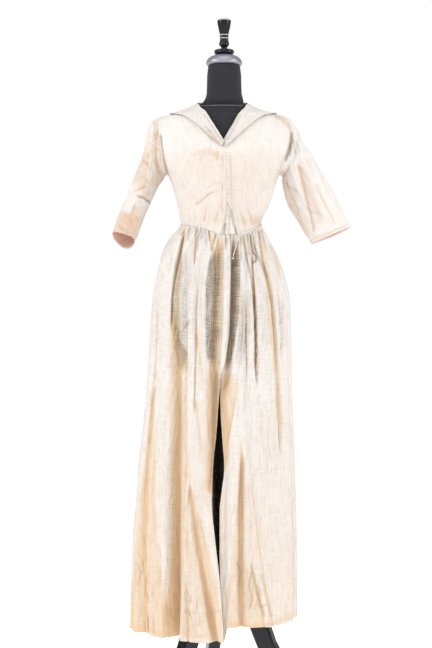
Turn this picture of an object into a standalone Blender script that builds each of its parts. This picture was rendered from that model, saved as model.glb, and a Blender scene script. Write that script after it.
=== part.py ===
"""A regency gown of sheer striped muslin, worn by a limbless dress form on a turned tripod stand.

Metres, +Z up. The gown's front faces -Y. The origin is on the floor, under the middle of the whole object.
Every piece of cloth is a closed wall made from a grid of points on one face and its normals.
"""

import math
from collections import namedtuple

import bmesh
import bpy
import numpy as np

# Driving dimensions.
AXIS_X = -0.0248  # the stand's axis, from the middle of the whole object
AXIS_Y = -0.0418
CLOTH_WALL = 0.0016
COLLAR_WALL = 0.0014
COLLAR_LIFT = 0.0049
LINING_WALL = 0.0010
SEAM_GAP = 0.0003
WAIST_GAP = 0.0019
ARMHOLE_GAP = 0.0009
FORM_INSET = 0.0075
FORM_SHOULDER = 0.1400
FORM_BOTTOM = 0.906
NECK_RUN = 1.6884
UNDERARM_RUN = 1.4055
SHOULDER_RUN = {-1: 1.5865, 1: 1.6130}
ARMHOLE_FRONT = 26.0
ARMHOLE_BACK = 24.0
UNDERARM_LEVEL = 0.45
NECKLINE_ARM_ANGLE = 80.0
BACK_POWER = 3  # how late the back's rows take on the slope of its shoulders
NECKLINE_BOTTOM = 1.481
NECKLINE_TOP = 1.598
NECK_TILT = 0.012
NECK_TILT_RUN = 1.60
BUST_RISE = 0.017
BUST_OUT = 0.072
BUST_HEIGHT = 1.425
BUST_WIDE = 0.052
BUST_TALL = 0.050
GATHERS = 34
GATHER_DEPTH = 0.0050
GATHER_REACH = 0.15
FOLD_TOP = 1.20
FOLD_RUN = 1.02
FOLD_FADE = 0.06
FOLD_START = 0.08
TUCK = 0.009
TUCK_WIDTH = 9.0
TUCK_START = 0.07
SIDE = 90.0
TIE_DIAMETER = 0.0026
KNOT_RADIUS = 0.0042
ARM_COLUMNS = 18

Section = namedtuple("Section", "run height left right front back square")
BODY = [
    # The form's hips, then the bodice. Up to the underarm the run is the height; above it, it follows the shoulder.
    Section(0.9060, 0.9060, 0.1220, 0.1220, 0.0980, 0.1080, 2.2),
    Section(1.0400, 1.0400, 0.1400, 0.1400, 0.1120, 0.1240, 2.2),
    Section(1.1300, 1.1300, 0.1330, 0.1330, 0.1060, 0.1160, 2.2),
    Section(1.2100, 1.2100, 0.1150, 0.1090, 0.0950, 0.0950, 2.2),
    Section(1.2705, 1.2705, 0.1134, 0.1018, 0.0920, 0.0850, 2.2),
    Section(1.3245, 1.3245, 0.1229, 0.1256, 0.1000, 0.0900, 2.3),
    Section(1.3785, 1.3785, 0.1377, 0.1415, 0.1090, 0.1000, 2.4),
    Section(1.4055, 1.4055, 0.1485, 0.1512, 0.1110, 0.1040, 2.4),
    Section(1.4455, 1.4380, 0.1720, 0.1720, 0.1080, 0.1090, 2.3),
    Section(1.4895, 1.4800, 0.1860, 0.1960, 0.1010, 0.1110, 2.2),
    Section(1.5295, 1.5200, 0.1890, 0.1980, 0.0900, 0.1080, 2.1),
    Section(1.5547, 1.5450, 0.1860, 0.1900, 0.0790, 0.1010, 2.0),
    Section(1.5696, 1.5560, 0.1760, 0.1780, 0.0720, 0.0950, 2.0),
    Section(1.5865, 1.5620, 0.1620, 0.1640, 0.0680, 0.0900, 2.0),
    Section(1.6093, 1.5665, 0.1385, 0.1400, 0.0640, 0.0840, 2.0),
    Section(1.6321, 1.5735, 0.1160, 0.1120, 0.0610, 0.0790, 2.0),
    Section(1.6609, 1.5840, 0.0900, 0.0860, 0.0590, 0.0730, 2.0),
    Section(1.6884, 1.5980, 0.0660, 0.0630, 0.0580, 0.0660, 2.0),
    Section(1.7000, 1.6080, 0.0620, 0.0600, 0.0570, 0.0640, 2.0),
]

SeamPoint = namedtuple("SeamPoint", "angle height")
WAIST_SEAM = [
    SeamPoint(-180, 1.283),
    SeamPoint(-90, 1.273),
    SeamPoint(-45, 1.262),
    SeamPoint(-26, 1.257),
    SeamPoint(-15, 1.248),
    SeamPoint(-6, 1.2385),
    SeamPoint(14, 1.2375),
    SeamPoint(31, 1.240),
    SeamPoint(50, 1.252),
    SeamPoint(70, 1.264),
    SeamPoint(90, 1.273),
    SeamPoint(180, 1.283),
]
HEM = [
    SeamPoint(-180, 0.190),
    SeamPoint(-120, 0.186),
    SeamPoint(-90, 0.183),
    SeamPoint(-60, 0.188),
    SeamPoint(-30, 0.184),
    SeamPoint(-8, 0.180),
    SeamPoint(0, 0.181),
    SeamPoint(3, 0.219),
    SeamPoint(40, 0.217),
    SeamPoint(90, 0.222),
    SeamPoint(130, 0.206),
    SeamPoint(180, 0.190),
]

# How far the left front's edge stands from the axis, towards +X, and how far the fronts are apart.
BodiceEdge = namedtuple("BodiceEdge", "height left apart")
BODICE_EDGES = [
    BodiceEdge(1.2370, -0.0105, 0.0495),
    BodiceEdge(1.2505, -0.0040, 0.0380),
    BodiceEdge(1.2715, 0.0030, 0.0225),
    BodiceEdge(1.3080, 0.0092, 0.0093),
    BodiceEdge(1.3450, 0.0098, 0.0007),
    BodiceEdge(1.4810, 0.0034, 0.0007),
]
SkirtEdge = namedtuple("SkirtEdge", "height left right")
SKIRT_EDGES = [
    SkirtEdge(0.180, 0.0010, -0.0110),
    SkirtEdge(0.287, -0.0052, -0.0100),
    SkirtEdge(0.351, -0.0104, -0.0088),
    SkirtEdge(0.442, -0.0208, -0.0104),
    SkirtEdge(0.546, -0.0300, -0.0098),
    SkirtEdge(0.598, -0.0302, -0.0039),
    SkirtEdge(0.650, -0.0286, 0.0026),
    SkirtEdge(0.702, -0.0221, -0.0013),
    SkirtEdge(0.754, -0.0169, -0.0052),
    SkirtEdge(0.806, -0.0130, -0.0091),
    SkirtEdge(0.870, -0.0065, -0.0110),
    SkirtEdge(0.910, 0.0052, -0.0040),
    SkirtEdge(0.987, 0.0169, 0.0060),
    SkirtEdge(1.120, 0.0178, 0.0110),
    SkirtEdge(1.195, 0.0182, 0.0192),
]

# The skirt's inner face, measured down from the waist seam. Its folds are let into this outline.
Spread = namedtuple("Spread", "drop left right front back")
SKIRT = [
    Spread(0.000, 0.1146, 0.1030, 0.0930, 0.0860),
    Spread(0.012, 0.1200, 0.1070, 0.0955, 0.0910),
    Spread(0.030, 0.1360, 0.1170, 0.1030, 0.1050),
    Spread(0.057, 0.1545, 0.1320, 0.1140, 0.1210),
    Spread(0.097, 0.1690, 0.1520, 0.1260, 0.1390),
    Spread(0.151, 0.1800, 0.1700, 0.1350, 0.1560),
    Spread(0.205, 0.1900, 0.1796, 0.1400, 0.1690),
    Spread(0.313, 0.1970, 0.1836, 0.1440, 0.1810),
    Spread(0.421, 0.2040, 0.1850, 0.1470, 0.1890),
    Spread(0.529, 0.2130, 0.1890, 0.1500, 0.1970),
    Spread(0.637, 0.2268, 0.1930, 0.1530, 0.2050),
    Spread(0.745, 0.2349, 0.1958, 0.1560, 0.2120),
    Spread(0.853, 0.2430, 0.1985, 0.1590, 0.2180),
    Spread(1.091, 0.2500, 0.2000, 0.1650, 0.2260),
]
SKIRT_SQUARE = 2.15

# Angles and half widths in degrees at the waist, the knee and the hem, depths in millimetres, heights in metres.
Fold = namedtuple(
    "Fold",
    "waist_angle knee_angle hem_angle waist_width hem_width waist_depth knee_depth hem_depth top bottom",
)
FOLDS = [
    Fold(-84, -84, -80, 5, 8, 3, 8, 16, 1.12, 0.10),
    Fold(-66, -64, -57, 5, 9, 2, 12, 20, 1.02, 0.10),
    Fold(-44, -33.5, -32, 6.5, 8, 9, 25, 52, 1.21, 0.10),
    Fold(-20, -20, -20, 2.5, 2.5, 5, 5, 0, 1.06, 0.80),
    Fold(-35, -24, -4, 3, 4.5, 0, 4, 27, 0.60, 0.10),
    Fold(-30, -27, -20, 1.8, 2, 0, 0, 6, 0.38, 0.10),
    Fold(-4, -8, -8, 6.5, 4, 17, 20, 8, 1.22, 0.60),
    Fold(11.5, 1, 0, 5, 4.5, 19, 14, 0, 1.22, 0.86),
    Fold(-3, -3, -3, 17, 8, 22, 20, 0, 0.84, 0.66),
    Fold(17, 18, 18, 2, 2, 4, 4, 0, 1.02, 0.88),
    Fold(25.5, 27, 27, 2.2, 2.2, 14, 15, 0, 1.17, 0.89),
    Fold(42, 51, 56, 3.2, 3.2, 12, 13, 5, 1.21, 0.70),
    Fold(55, 55, 55, 2.2, 2.2, 6, 6, 0, 1.06, 0.95),
    Fold(30, 15, 13, 3, 6, 0, 14, 18, 0.63, 0.10),
    Fold(30, 15.5, 37, 3, 4, 0, -6, -8, 0.66, 0.10),
    Fold(70, 71, 72, 5, 6, 4, 8, 12, 1.15, 0.10),
    Fold(88, 90, 92, 5, 6, 3, 12, 18, 1.15, 0.10),
    Fold(108, 110, 112, 5, 7, 6, 16, 26, 1.20, 0.10),
    Fold(126, 128, 127, 4, 6, 6, 14, 22, 1.20, 0.10),
    Fold(143, 144, 146, 5, 8, 10, 22, 36, 1.22, 0.10),
    Fold(160, 162, 161, 4, 6, 9, 18, 24, 1.22, 0.10),
    Fold(176, 179, 178, 4.5, 7, 12, 24, 36, 1.22, 0.10),
    Fold(-166, -163, -164, 4, 6, 10, 18, 26, 1.22, 0.10),
    Fold(-149, -147, -145, 4.5, 8, 10, 22, 34, 1.22, 0.10),
    Fold(-133, -130, -127, 4, 6, 7, 14, 24, 1.20, 0.10),
    Fold(-115, -113, -108, 5, 7, 5, 15, 26, 1.20, 0.10),
]

# Each sleeve's rings: the outer and under points in the plane of the front, the middle's y, the half depth,
# how far the front and back of the ring bow out, away from the body, and how steeply the ring leans: half as much of
# its half depth as that is how far the front rises, and three times as much is how far the back drops.
Ring = namedtuple("Ring", "share outer_x outer_z under_x under_z y through bow lean")
LEFT_SLEEVE = [
    Ring(0.00, -0.1640, 1.5610, -0.1500, 1.4040, 0.003, 0.0480, 0.016, 0.00),
    Ring(0.05, -0.1930, 1.5500, -0.1540, 1.4010, 0.003, 0.0480, 0.006, 0.00),
    Ring(0.12, -0.2040, 1.5240, -0.1595, 1.3940, 0.003, 0.0490, 0.003, 0.00),
    Ring(0.22, -0.2133, 1.4730, -0.1660, 1.3866, 0.003, 0.0490, 0.000, 0.00),
    Ring(0.34, -0.2268, 1.4325, -0.1755, 1.3731, 0.002, 0.0485, 0.000, 0.00),
    Ring(0.46, -0.2430, 1.3920, -0.1890, 1.3434, 0.000, 0.0480, 0.000, 0.02),
    Ring(0.58, -0.2592, 1.3515, -0.1990, 1.3218, -0.005, 0.0470, 0.000, 0.10),
    Ring(0.72, -0.2740, 1.3110, -0.2106, 1.2948, -0.016, 0.0455, 0.000, 0.22),
    Ring(0.86, -0.2860, 1.2760, -0.2220, 1.2610, -0.030, 0.0445, 0.000, 0.33),
    Ring(1.00, -0.2960, 1.2410, -0.2350, 1.2240, -0.046, 0.0440, 0.000, 0.40),
]
RIGHT_SLEEVE = [
    Ring(0.00, 0.1390, 1.5690, 0.1530, 1.4040, 0.003, 0.0480, 0.042, 0.00),
    Ring(0.05, 0.1840, 1.5560, 0.1570, 1.4000, 0.003, 0.0470, 0.017, 0.00),
    Ring(0.12, 0.2060, 1.5200, 0.1590, 1.3940, 0.003, 0.0450, 0.008, 0.00),
    Ring(0.22, 0.2160, 1.4919, 0.1600, 1.3860, 0.002, 0.0420, 0.003, 0.00),
    Ring(0.34, 0.2376, 1.4649, 0.1620, 1.3731, 0.000, 0.0370, 0.000, 0.00),
    Ring(0.46, 0.2619, 1.4190, 0.1670, 1.3461, -0.002, 0.0310, 0.000, 0.02),
    Ring(0.58, 0.2889, 1.3758, 0.1769, 1.3191, -0.004, 0.0270, 0.000, 0.05),
    Ring(0.72, 0.3105, 1.3326, 0.1930, 1.2935, -0.007, 0.0235, 0.000, 0.08),
    Ring(0.86, 0.3281, 1.2975, 0.2133, 1.2584, -0.010, 0.0210, 0.000, 0.12),
    Ring(1.00, 0.3456, 1.2638, 0.2376, 1.2179, -0.014, 0.0180, 0.000, 0.15),
]
SLEEVE_HEAD = 0.16  # the share over which a sleeve leaves the armhole's shape
HEAD_TRAVEL = {-1: 0.36, 1: 0.46}  # how fast its top moves out over that share, in metres

CollarPoint = namedtuple("CollarPoint", "share angle run")
COLLAR_OUTER = [
    CollarPoint(0.00, 1.0, 1.4760),
    CollarPoint(0.10, 9.0, 1.5050),
    CollarPoint(0.20, 19.0, 1.5340),
    CollarPoint(0.30, 38.0, 1.5700),
    CollarPoint(0.42, 90.0, 1.6060),
    CollarPoint(0.60, 128.0, 1.5900),
    CollarPoint(1.00, 180.0, 1.5740),
]

# A tie's points on the skirt: the angle and height, and how far it stands out from the cloth's outline.
TiePoint = namedtuple("TiePoint", "angle height out")
RIGHT_TIE = [
    TiePoint(38.0, 1.2420, 0.0030),
    TiePoint(36.5, 1.2300, 0.0036),
    TiePoint(33.0, 1.2130, 0.0036),
    TiePoint(31.0, 1.1980, 0.0034),
    TiePoint(30.0, 1.1840, 0.0054),
]
CENTRE_TIE = [
    TiePoint(19.5, 1.2330, 0.0030),
    TiePoint(17.5, 1.2200, 0.0034),
    TiePoint(14.5, 1.2040, 0.0034),
    TiePoint(11.0, 1.1890, 0.0032),
    TiePoint(9.5, 1.1780, 0.0052),
]

TurnPoint = namedtuple("TurnPoint", "radius height")
HEAD_SHIFT = 0.003
NECK = [
    TurnPoint(0.0590, 1.5980),
    TurnPoint(0.0510, 1.6110),
    TurnPoint(0.0475, 1.6240),
    TurnPoint(0.0466, 1.6500),
    TurnPoint(0.0460, 1.6750),
    TurnPoint(0.0430, 1.6990),
]
NECK_CAP = [
    TurnPoint(0.0000, 1.7300),
    TurnPoint(0.0220, 1.7285),
    TurnPoint(0.0370, 1.7240),
    TurnPoint(0.0455, 1.7170),
    TurnPoint(0.0486, 1.7090),
    TurnPoint(0.0486, 1.7040),
    TurnPoint(0.0440, 1.6993),
    TurnPoint(0.0000, 1.6993),
]
FINIAL = [
    TurnPoint(0.0000, 1.8290),
    TurnPoint(0.0120, 1.8280),
    TurnPoint(0.0180, 1.8240),
    TurnPoint(0.0189, 1.8190),
    TurnPoint(0.0160, 1.8020),
    TurnPoint(0.0118, 1.7860),
    TurnPoint(0.0122, 1.7820),
    TurnPoint(0.0112, 1.7780),
    TurnPoint(0.0122, 1.7740),
    TurnPoint(0.0108, 1.7700),
    TurnPoint(0.0135, 1.7620),
    TurnPoint(0.0139, 1.7560),
    TurnPoint(0.0080, 1.7500),
    TurnPoint(0.0075, 1.7440),
    TurnPoint(0.0240, 1.7430),
    TurnPoint(0.0268, 1.7400),
    TurnPoint(0.0268, 1.7340),
    TurnPoint(0.0240, 1.7303),
    TurnPoint(0.0000, 1.7303),
]
COLUMN = [
    TurnPoint(0.0000, 0.9057),
    TurnPoint(0.0600, 0.9057),
    TurnPoint(0.0600, 0.8960),
    TurnPoint(0.0380, 0.8900),
    TurnPoint(0.0290, 0.8700),
    TurnPoint(0.0275, 0.8400),
    TurnPoint(0.0275, 0.4400),
    TurnPoint(0.0330, 0.4250),
    TurnPoint(0.0330, 0.4100),
    TurnPoint(0.0285, 0.3950),
    TurnPoint(0.0000, 0.3950),
]
HUB = [
    TurnPoint(0.0000, 0.3947),
    TurnPoint(0.0330, 0.3947),
    TurnPoint(0.0400, 0.3850),
    TurnPoint(0.0400, 0.2500),
    TurnPoint(0.0330, 0.2380),
    TurnPoint(0.0180, 0.2250),
    TurnPoint(0.0120, 0.2050),
    TurnPoint(0.0000, 0.2000),
]

# A leg's middle line, out from the stand's axis, and its half depth across that line.
LegPoint = namedtuple("LegPoint", "out height half")
LEG = [
    LegPoint(0.0403, 0.3200, 0.0300),
    LegPoint(0.0680, 0.3200, 0.0320),
    LegPoint(0.0860, 0.2900, 0.0300),
    LegPoint(0.0960, 0.2450, 0.0270),
    LegPoint(0.1060, 0.1950, 0.0255),
    LegPoint(0.1260, 0.1450, 0.0240),
    LegPoint(0.1560, 0.0980, 0.0220),
    LegPoint(0.1920, 0.0590, 0.0195),
    LegPoint(0.2240, 0.0350, 0.0170),
]
FOOT_INNER = 0.2300
FOOT_OUTER = 0.2680
FOOT_HEIGHT = 0.0300
LEG_THICKNESS = 0.0340
LEG_CHAMFER = 0.0045
LEG_AZIMUTHS = {"leg_right": -20.0, "leg_left": -140.0, "leg_back": 100.0}


def read(rows, column, at):
    """A table's column at any place along its first column, on a smooth curve that never overshoots its rows."""
    keys = np.array([row[0] for row in rows], float)
    values = np.array([getattr(row, column) for row in rows], float)
    at = np.clip(at, keys[0], keys[-1])
    steps = np.diff(keys)
    rises = np.diff(values) / steps
    slopes = np.zeros_like(values)
    slopes[0] = rises[0]
    slopes[-1] = rises[-1]
    before, after = rises[:-1], rises[1:]
    inner = slopes[1:-1]
    same_way = before * after > 0
    inner[same_way] = 2 * before[same_way] * after[same_way] / (before + after)[same_way]
    span = np.clip(np.searchsorted(keys, at, side="right") - 1, 0, len(steps) - 1)
    width = steps[span]
    u = (at - keys[span]) / width
    return (
        values[span] * (1 + 2 * u) * (1 - u) ** 2
        + slopes[span] * width * u * (1 - u) ** 2
        + values[span + 1] * u * u * (3 - 2 * u)
        - slopes[span + 1] * width * u * u * (1 - u)
    )


def ease(value):
    """0 below 0, 1 above 1 and smooth between them."""
    value = np.clip(value, 0, 1)
    return value * value * (3 - 2 * value)


def oval(angle, left, right, front, back, square):
    """X and Y of a point on a section that is squarer than an ellipse, at an angle in degrees from centre front."""
    sine, cosine = np.sin(np.radians(angle)), np.cos(np.radians(angle))
    power = 2 / square
    half = np.where(sine < 0, left, right)
    depth = np.where(cosine > 0, front, back)
    x = half * np.sign(sine) * np.abs(sine) ** power
    y = -depth * np.sign(cosine) * np.abs(cosine) ** power
    return x, y


def body(angle, run):
    """The bodice's outside, which is also the form's shape, with a cup on each side of the front."""
    angle, run = np.broadcast_arrays(np.asarray(angle, float), np.asarray(run, float))
    columns = [read(BODY, name, run) for name in ("left", "right", "front", "back", "square")]
    x, y = oval(angle, *columns)
    tilt = NECK_TILT * ease((run - NECK_TILT_RUN) / (NECK_RUN - NECK_TILT_RUN))
    z = read(BODY, "height", run) - tilt * np.cos(np.radians(angle))
    cups = sum(np.exp(-(((x - side * BUST_OUT) / BUST_WIDE) ** 2)) for side in (-1, 1))
    front_only = ease(np.cos(np.radians(angle)) * 2)
    y = y - BUST_RISE * cups * np.exp(-(((z - BUST_HEIGHT) / BUST_TALL) ** 2)) * front_only
    return np.stack([x, y, z], axis=-1)


def normal_of(surface, first, second, first_step, second_step):
    """The outward unit normal of a surface of two parameters."""
    along = surface(first + first_step, second) - surface(first - first_step, second)
    up = surface(first, second + second_step) - surface(first, second - second_step)
    normal = np.cross(along, up)
    return normal / np.linalg.norm(normal, axis=-1, keepdims=True)


def body_normal(angle, run):
    return normal_of(body, angle, run, 0.4, 0.0006)


def run_at(height):
    """The run whose section lies at this height."""
    runs = np.linspace(BODY[0].run, BODY[-1].run, 400)
    return np.interp(height, read(BODY, "height", runs), runs)


def front_angle(x, run):
    """The angle at which the bodice's front stands x from the axis."""
    half = np.where(x < 0, read(BODY, "left", run), read(BODY, "right", run))
    sine = np.clip(np.abs(x) / half, 0, 1) ** (read(BODY, "square", run) / 2)
    return np.sign(x) * np.degrees(np.arcsin(sine))


def side_column(side):
    return "left" if side < 0 else "right"


def neck_half(side):
    """How far from the axis a shoulder seam meets the neck."""
    return float(read(BODY, side_column(side), NECK_RUN))


def ridge_run(x, side):
    """The run at which the shoulder stands x from the axis."""
    runs = np.linspace(SHOULDER_RUN[side], NECK_RUN, 120)
    halves = read(BODY, side_column(side), runs)
    return np.interp(x, halves[::-1], runs[::-1])


def armhole(arm_angle, side):
    """Angle and run on the armhole: 0 degrees is the underarm, 90 the front, 180 the shoulder and 270 the back."""
    turn = np.sin(np.radians(arm_angle))
    swing = np.where(turn > 0, ARMHOLE_FRONT, ARMHOLE_BACK) * turn
    middle, half = (SHOULDER_RUN[side] + UNDERARM_RUN) / 2, (SHOULDER_RUN[side] - UNDERARM_RUN) / 2
    return side * (SIDE - swing), middle - half * np.cos(np.radians(arm_angle))


def arm_angle_at(level):
    return 180 * np.clip((level - UNDERARM_LEVEL) / (1 - UNDERARM_LEVEL), 0, 1)


def side_edge(level, side, back):
    """Angle and run up a side seam and on round the armhole to the shoulder."""
    arm_angle = arm_angle_at(level)
    angle, run = armhole(360 - arm_angle if back else arm_angle, side)
    waist = read(WAIST_SEAM, "height", side * SIDE)
    below = waist + (UNDERARM_RUN - waist) * level / UNDERARM_LEVEL
    return np.where(level < UNDERARM_LEVEL, side * SIDE, angle), np.where(level < UNDERARM_LEVEL, below, run)


def front_edge(level, side):
    """Angle and run up a front's edge, then along its slanting neckline to the shoulder seam."""
    split = UNDERARM_LEVEL + (1 - UNDERARM_LEVEL) * NECKLINE_ARM_ANGLE / 180
    bottom = BODICE_EDGES[0].height
    height = np.where(
        level < split,
        bottom + (NECKLINE_BOTTOM - bottom) * level / split,
        NECKLINE_BOTTOM + (NECKLINE_TOP - NECKLINE_BOTTOM) * (level - split) / (1 - split),
    )
    share = np.clip((height - NECKLINE_BOTTOM) / (NECKLINE_TOP - NECKLINE_BOTTOM), 0, 1)
    bottom_x = read(BODICE_EDGES, "left", height) + (read(BODICE_EDGES, "apart", height) if side > 0 else 0)
    slanted = bottom_x * (1 - share) + side * neck_half(side) * share
    x = np.where(level < split, bottom_x, slanted)
    run = run_at(height)
    return front_angle(x, run), run


def blend_edges(across, level, bottom, top, start, end, power=1):
    """A four-sided patch of angles and runs between its bottom, top, start and end edges."""
    upper = level**power
    corners = [bottom(0.0), bottom(1.0), top(0.0), top(1.0)]
    patch = []
    for axis in range(2):
        flat = (
            (1 - across) * (1 - upper) * corners[0][axis]
            + across * (1 - upper) * corners[1][axis]
            + (1 - across) * upper * corners[2][axis]
            + across * upper * corners[3][axis]
        )
        edges = (1 - upper) * bottom(across)[axis] + upper * top(across)[axis]
        edges = edges + (1 - across) * start(level)[axis] + across * end(level)[axis]
        patch.append(edges - flat)
    return patch


def front_panel(across, level, side):
    """Angle and run on a bodice front: across from its front edge to its side, level from waist to shoulder."""
    side_stop = side * SIDE

    def bottom(share):
        angle = front_edge(np.asarray(0.0), side)[0]
        angle = angle + (side_stop - angle) * share
        return angle, read(WAIST_SEAM, "height", angle)

    def top(share):
        tip_half = float(read(BODY, side_column(side), SHOULDER_RUN[side]))
        x = neck_half(side) + (tip_half - neck_half(side)) * share
        return side_stop + 0 * share, ridge_run(x, side)

    angle, run = blend_edges(
        across, level, bottom, top, lambda up: front_edge(up, side), lambda up: side_edge(up, side, False)
    )
    seam = np.degrees(SEAM_GAP / 2 / 0.11)
    return np.clip(np.abs(angle), 0, SIDE - seam) * np.sign(angle), run


def back_panel(across, level):
    """Angle and run on the bodice back: across from the +X side, by 180 degrees, to the -X side."""

    def bottom(share):
        angle = SIDE + 180 * share
        return angle, read(WAIST_SEAM, "height", np.where(angle > 180, angle - 360, angle))

    def top(share):
        shoulder = 0.28
        angle = np.interp(share, [0, shoulder, 1 - shoulder, 1], [SIDE, SIDE, 360 - SIDE, 360 - SIDE])
        tips = (SHOULDER_RUN[1], SHOULDER_RUN[-1])
        run = np.interp(share, [0, shoulder, 1 - shoulder, 1], [tips[0], NECK_RUN, NECK_RUN, tips[1]])
        return angle, run

    def start(up):
        return side_edge(up, 1, True)

    def end(up):
        angle, run = side_edge(up, -1, True)
        return angle + 360, run

    angle, run = blend_edges(across, level, bottom, top, start, end, BACK_POWER)
    seam = np.degrees(SEAM_GAP / 2 / 0.11)
    return np.clip(angle, SIDE + seam, 360 - SIDE - seam), run


def fold_depth(angle, height):
    """How far the skirt's folds are let in, in metres."""
    u = np.clip((FOLD_TOP - height) / FOLD_RUN, 0, 1)
    at_waist, at_knee, at_hem = (1 - u) * (1 - 2 * u), 4 * u * (1 - u), u * (2 * u - 1)
    total = np.zeros_like(angle)
    for fold in FOLDS:
        centre = fold.waist_angle * at_waist + fold.knee_angle * at_knee + fold.hem_angle * at_hem
        depth = fold.waist_depth * at_waist + fold.knee_depth * at_knee + fold.hem_depth * at_hem
        width = fold.waist_width + (fold.hem_width - fold.waist_width) * u
        away = np.abs((angle - centre + 180) % 360 - 180) / width
        bell = np.where(away < 1, np.cos(np.clip(away, 0, 1) * math.pi / 2) ** 2, 0)
        shown = ease((fold.top + FOLD_FADE - height) / FOLD_FADE) * ease((height - fold.bottom + FOLD_FADE) / FOLD_FADE)
        total = total + 0.001 * depth * bell * shown
    return total


def gather_depth(angle, drop):
    """The gathers that hang from the waist seam, uneven in spacing and in length."""
    radians = np.radians(angle)
    phase = GATHERS * radians + 0.9 * np.sin(3 * radians + 1.0) + 0.7 * np.sin(7 * radians + 2.0)
    uneven = 0.75 + 0.25 * np.sin(5 * radians + 0.5)
    reach = GATHER_REACH * (0.7 + 0.3 * np.sin(4 * radians + 2.2))
    swell = 0.35 + 0.65 * ease(drop / 0.025)
    fade = 1 - ease((drop - 0.02) / reach)
    return GATHER_DEPTH * uneven * swell * fade * (1 - np.cos(phase)) / 2


def skirt(angle, share, tuck=0.0):
    """The skirt's inner face: share runs from the waist seam to the hem, and a tuck lets a free edge in."""
    angle, share = np.broadcast_arrays(np.asarray(angle, float), np.asarray(share, float))
    turned = (angle + 180) % 360 - 180
    waist, hem = read(WAIST_SEAM, "height", turned), read(HEM, "height", turned)
    height = waist - WAIST_GAP + (hem - waist + WAIST_GAP) * share
    drop = waist - height
    inward = fold_depth(turned, height) * ease(drop / FOLD_START) + gather_depth(turned, drop) + tuck
    columns = [read(SKIRT, name, drop) - inward for name in ("left", "right", "front", "back")]
    x, y = oval(angle, *columns, SKIRT_SQUARE)
    return np.stack([x, y, height], axis=-1)


def skirt_edge_angle(share, side):
    """The angle of a skirt front's free edge."""
    column = "left" if side < 0 else "right"
    waist, hem = (1.238, 0.181) if side < 0 else (1.238, 0.219)
    height = waist + (hem - waist) * share
    x = read(SKIRT_EDGES, column, height)
    half = np.where(x < 0, read(SKIRT, "left", waist - height), read(SKIRT, "right", waist - height))
    return np.sign(x) * np.degrees(np.arcsin((np.abs(x) / half) ** (SKIRT_SQUARE / 2)))


def right_front(angle, share):
    """The right skirt front, whose free edge lies behind the left one's."""
    beyond = (angle - skirt_edge_angle(share, 1)) / TUCK_WIDTH
    return skirt(angle, share, TUCK * (1 - ease(beyond)) * ease(share / TUCK_START))


def sleeve(arm_angle, share, side):
    """A sleeve's outside: its rings grow out of the armhole. Arm angles are the armhole's own."""
    rings = LEFT_SLEEVE if side < 0 else RIGHT_SLEEVE
    column = {name: read(rings, name, share) for name in Ring._fields[1:]}
    outer = np.stack([column["outer_x"], column["y"], column["outer_z"]], axis=-1)
    under = np.stack([column["under_x"], column["y"], column["under_z"]], axis=-1)
    radians = np.radians(arm_angle)
    bow = side * column["bow"] * np.sin(radians) ** 2
    ahead = column["through"] * np.sin(radians)
    rise = column["lean"] * (ahead - 0.5 * column["through"] * np.sin(radians) ** 2)
    forward = np.stack([bow, -ahead, rise], axis=-1)
    ring = (outer + under) / 2 + (under - outer) / 2 * np.cos(radians)[..., None] + forward
    angle, run = armhole(arm_angle, side)
    loop, out = body(angle, run), body_normal(angle, run)
    middle = body(np.asarray(side * SIDE), np.asarray((SHOULDER_RUN[side] + UNDERARM_RUN) / 2))
    inward = middle - loop
    inward = inward - out * np.sum(inward * out, axis=-1, keepdims=True)
    inward = inward / np.linalg.norm(inward, axis=-1, keepdims=True)
    loop = loop + ARMHOLE_GAP * (inward + 1.5 * out)
    travel = HEAD_TRAVEL[side] * np.asarray(share) * (0.3 + 0.35 * (1 - np.cos(radians)))
    loop = loop + np.stack([side * 0.92 * travel, 0 * travel, -0.33 * travel], axis=-1)
    grown = ease(share / SLEEVE_HEAD)[..., None]
    return loop * (1 - grown) + ring * grown


def neck_edge(share, side):
    """Angle and run along the collar's inner edge, from the V to the middle of the back."""
    split = 0.42
    up = UNDERARM_LEVEL + (1 - UNDERARM_LEVEL) * NECKLINE_ARM_ANGLE / 180
    level = up + (1 - up) * np.clip(share / split, 0, 1)
    angle, run = front_edge(level, side)
    behind = np.clip((share - split) / (1 - split), 0, 1)
    return np.where(share < split, side * angle, SIDE + 90 * behind), run


def collar(across, share):
    """The turned-down collar: share runs from the left tip round the neck to the right tip, across from the neck."""
    turn = np.clip(1 - np.abs(2 * share - 1), 0, 1)
    left_inner, left_run = neck_edge(turn, -1)
    right_inner, right_run = neck_edge(turn, 1)
    is_left = share < 0.5
    inner = np.where(is_left, left_inner, right_inner)
    inner_run = np.where(is_left, left_run, right_run)
    outer, outer_run = read(COLLAR_OUTER, "angle", turn), read(COLLAR_OUTER, "run", turn)
    angle = inner + (outer - inner) * across
    run = inner_run + (outer_run - inner_run) * across
    signed = np.where(is_left, -angle, angle)
    lift = COLLAR_LIFT * (1 - 0.12 * (1 - across) ** 3)
    return body(signed, run) + body_normal(signed, run) * lift[..., None]


def material(name, colour, roughness, metallic=0.0):
    made = bpy.data.materials.get(name) or bpy.data.materials.new(name)
    made.use_nodes = True
    shader = made.node_tree.nodes["Principled BSDF"]
    shader.inputs["Base Color"].default_value = (*colour, 1.0)
    shader.inputs["Roughness"].default_value = roughness
    shader.inputs["Metallic"].default_value = metallic
    made.diffuse_color = (*colour, 1.0)
    return made


def place(obj, finish):
    """Puts an object in the part's collection, on the stand's axis, with its material."""
    bpy.data.collections[COLLECTION].objects.link(obj)
    obj.parent = bpy.data.objects["stand_axis"]
    obj.data.materials.append(finish)
    return obj


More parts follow.
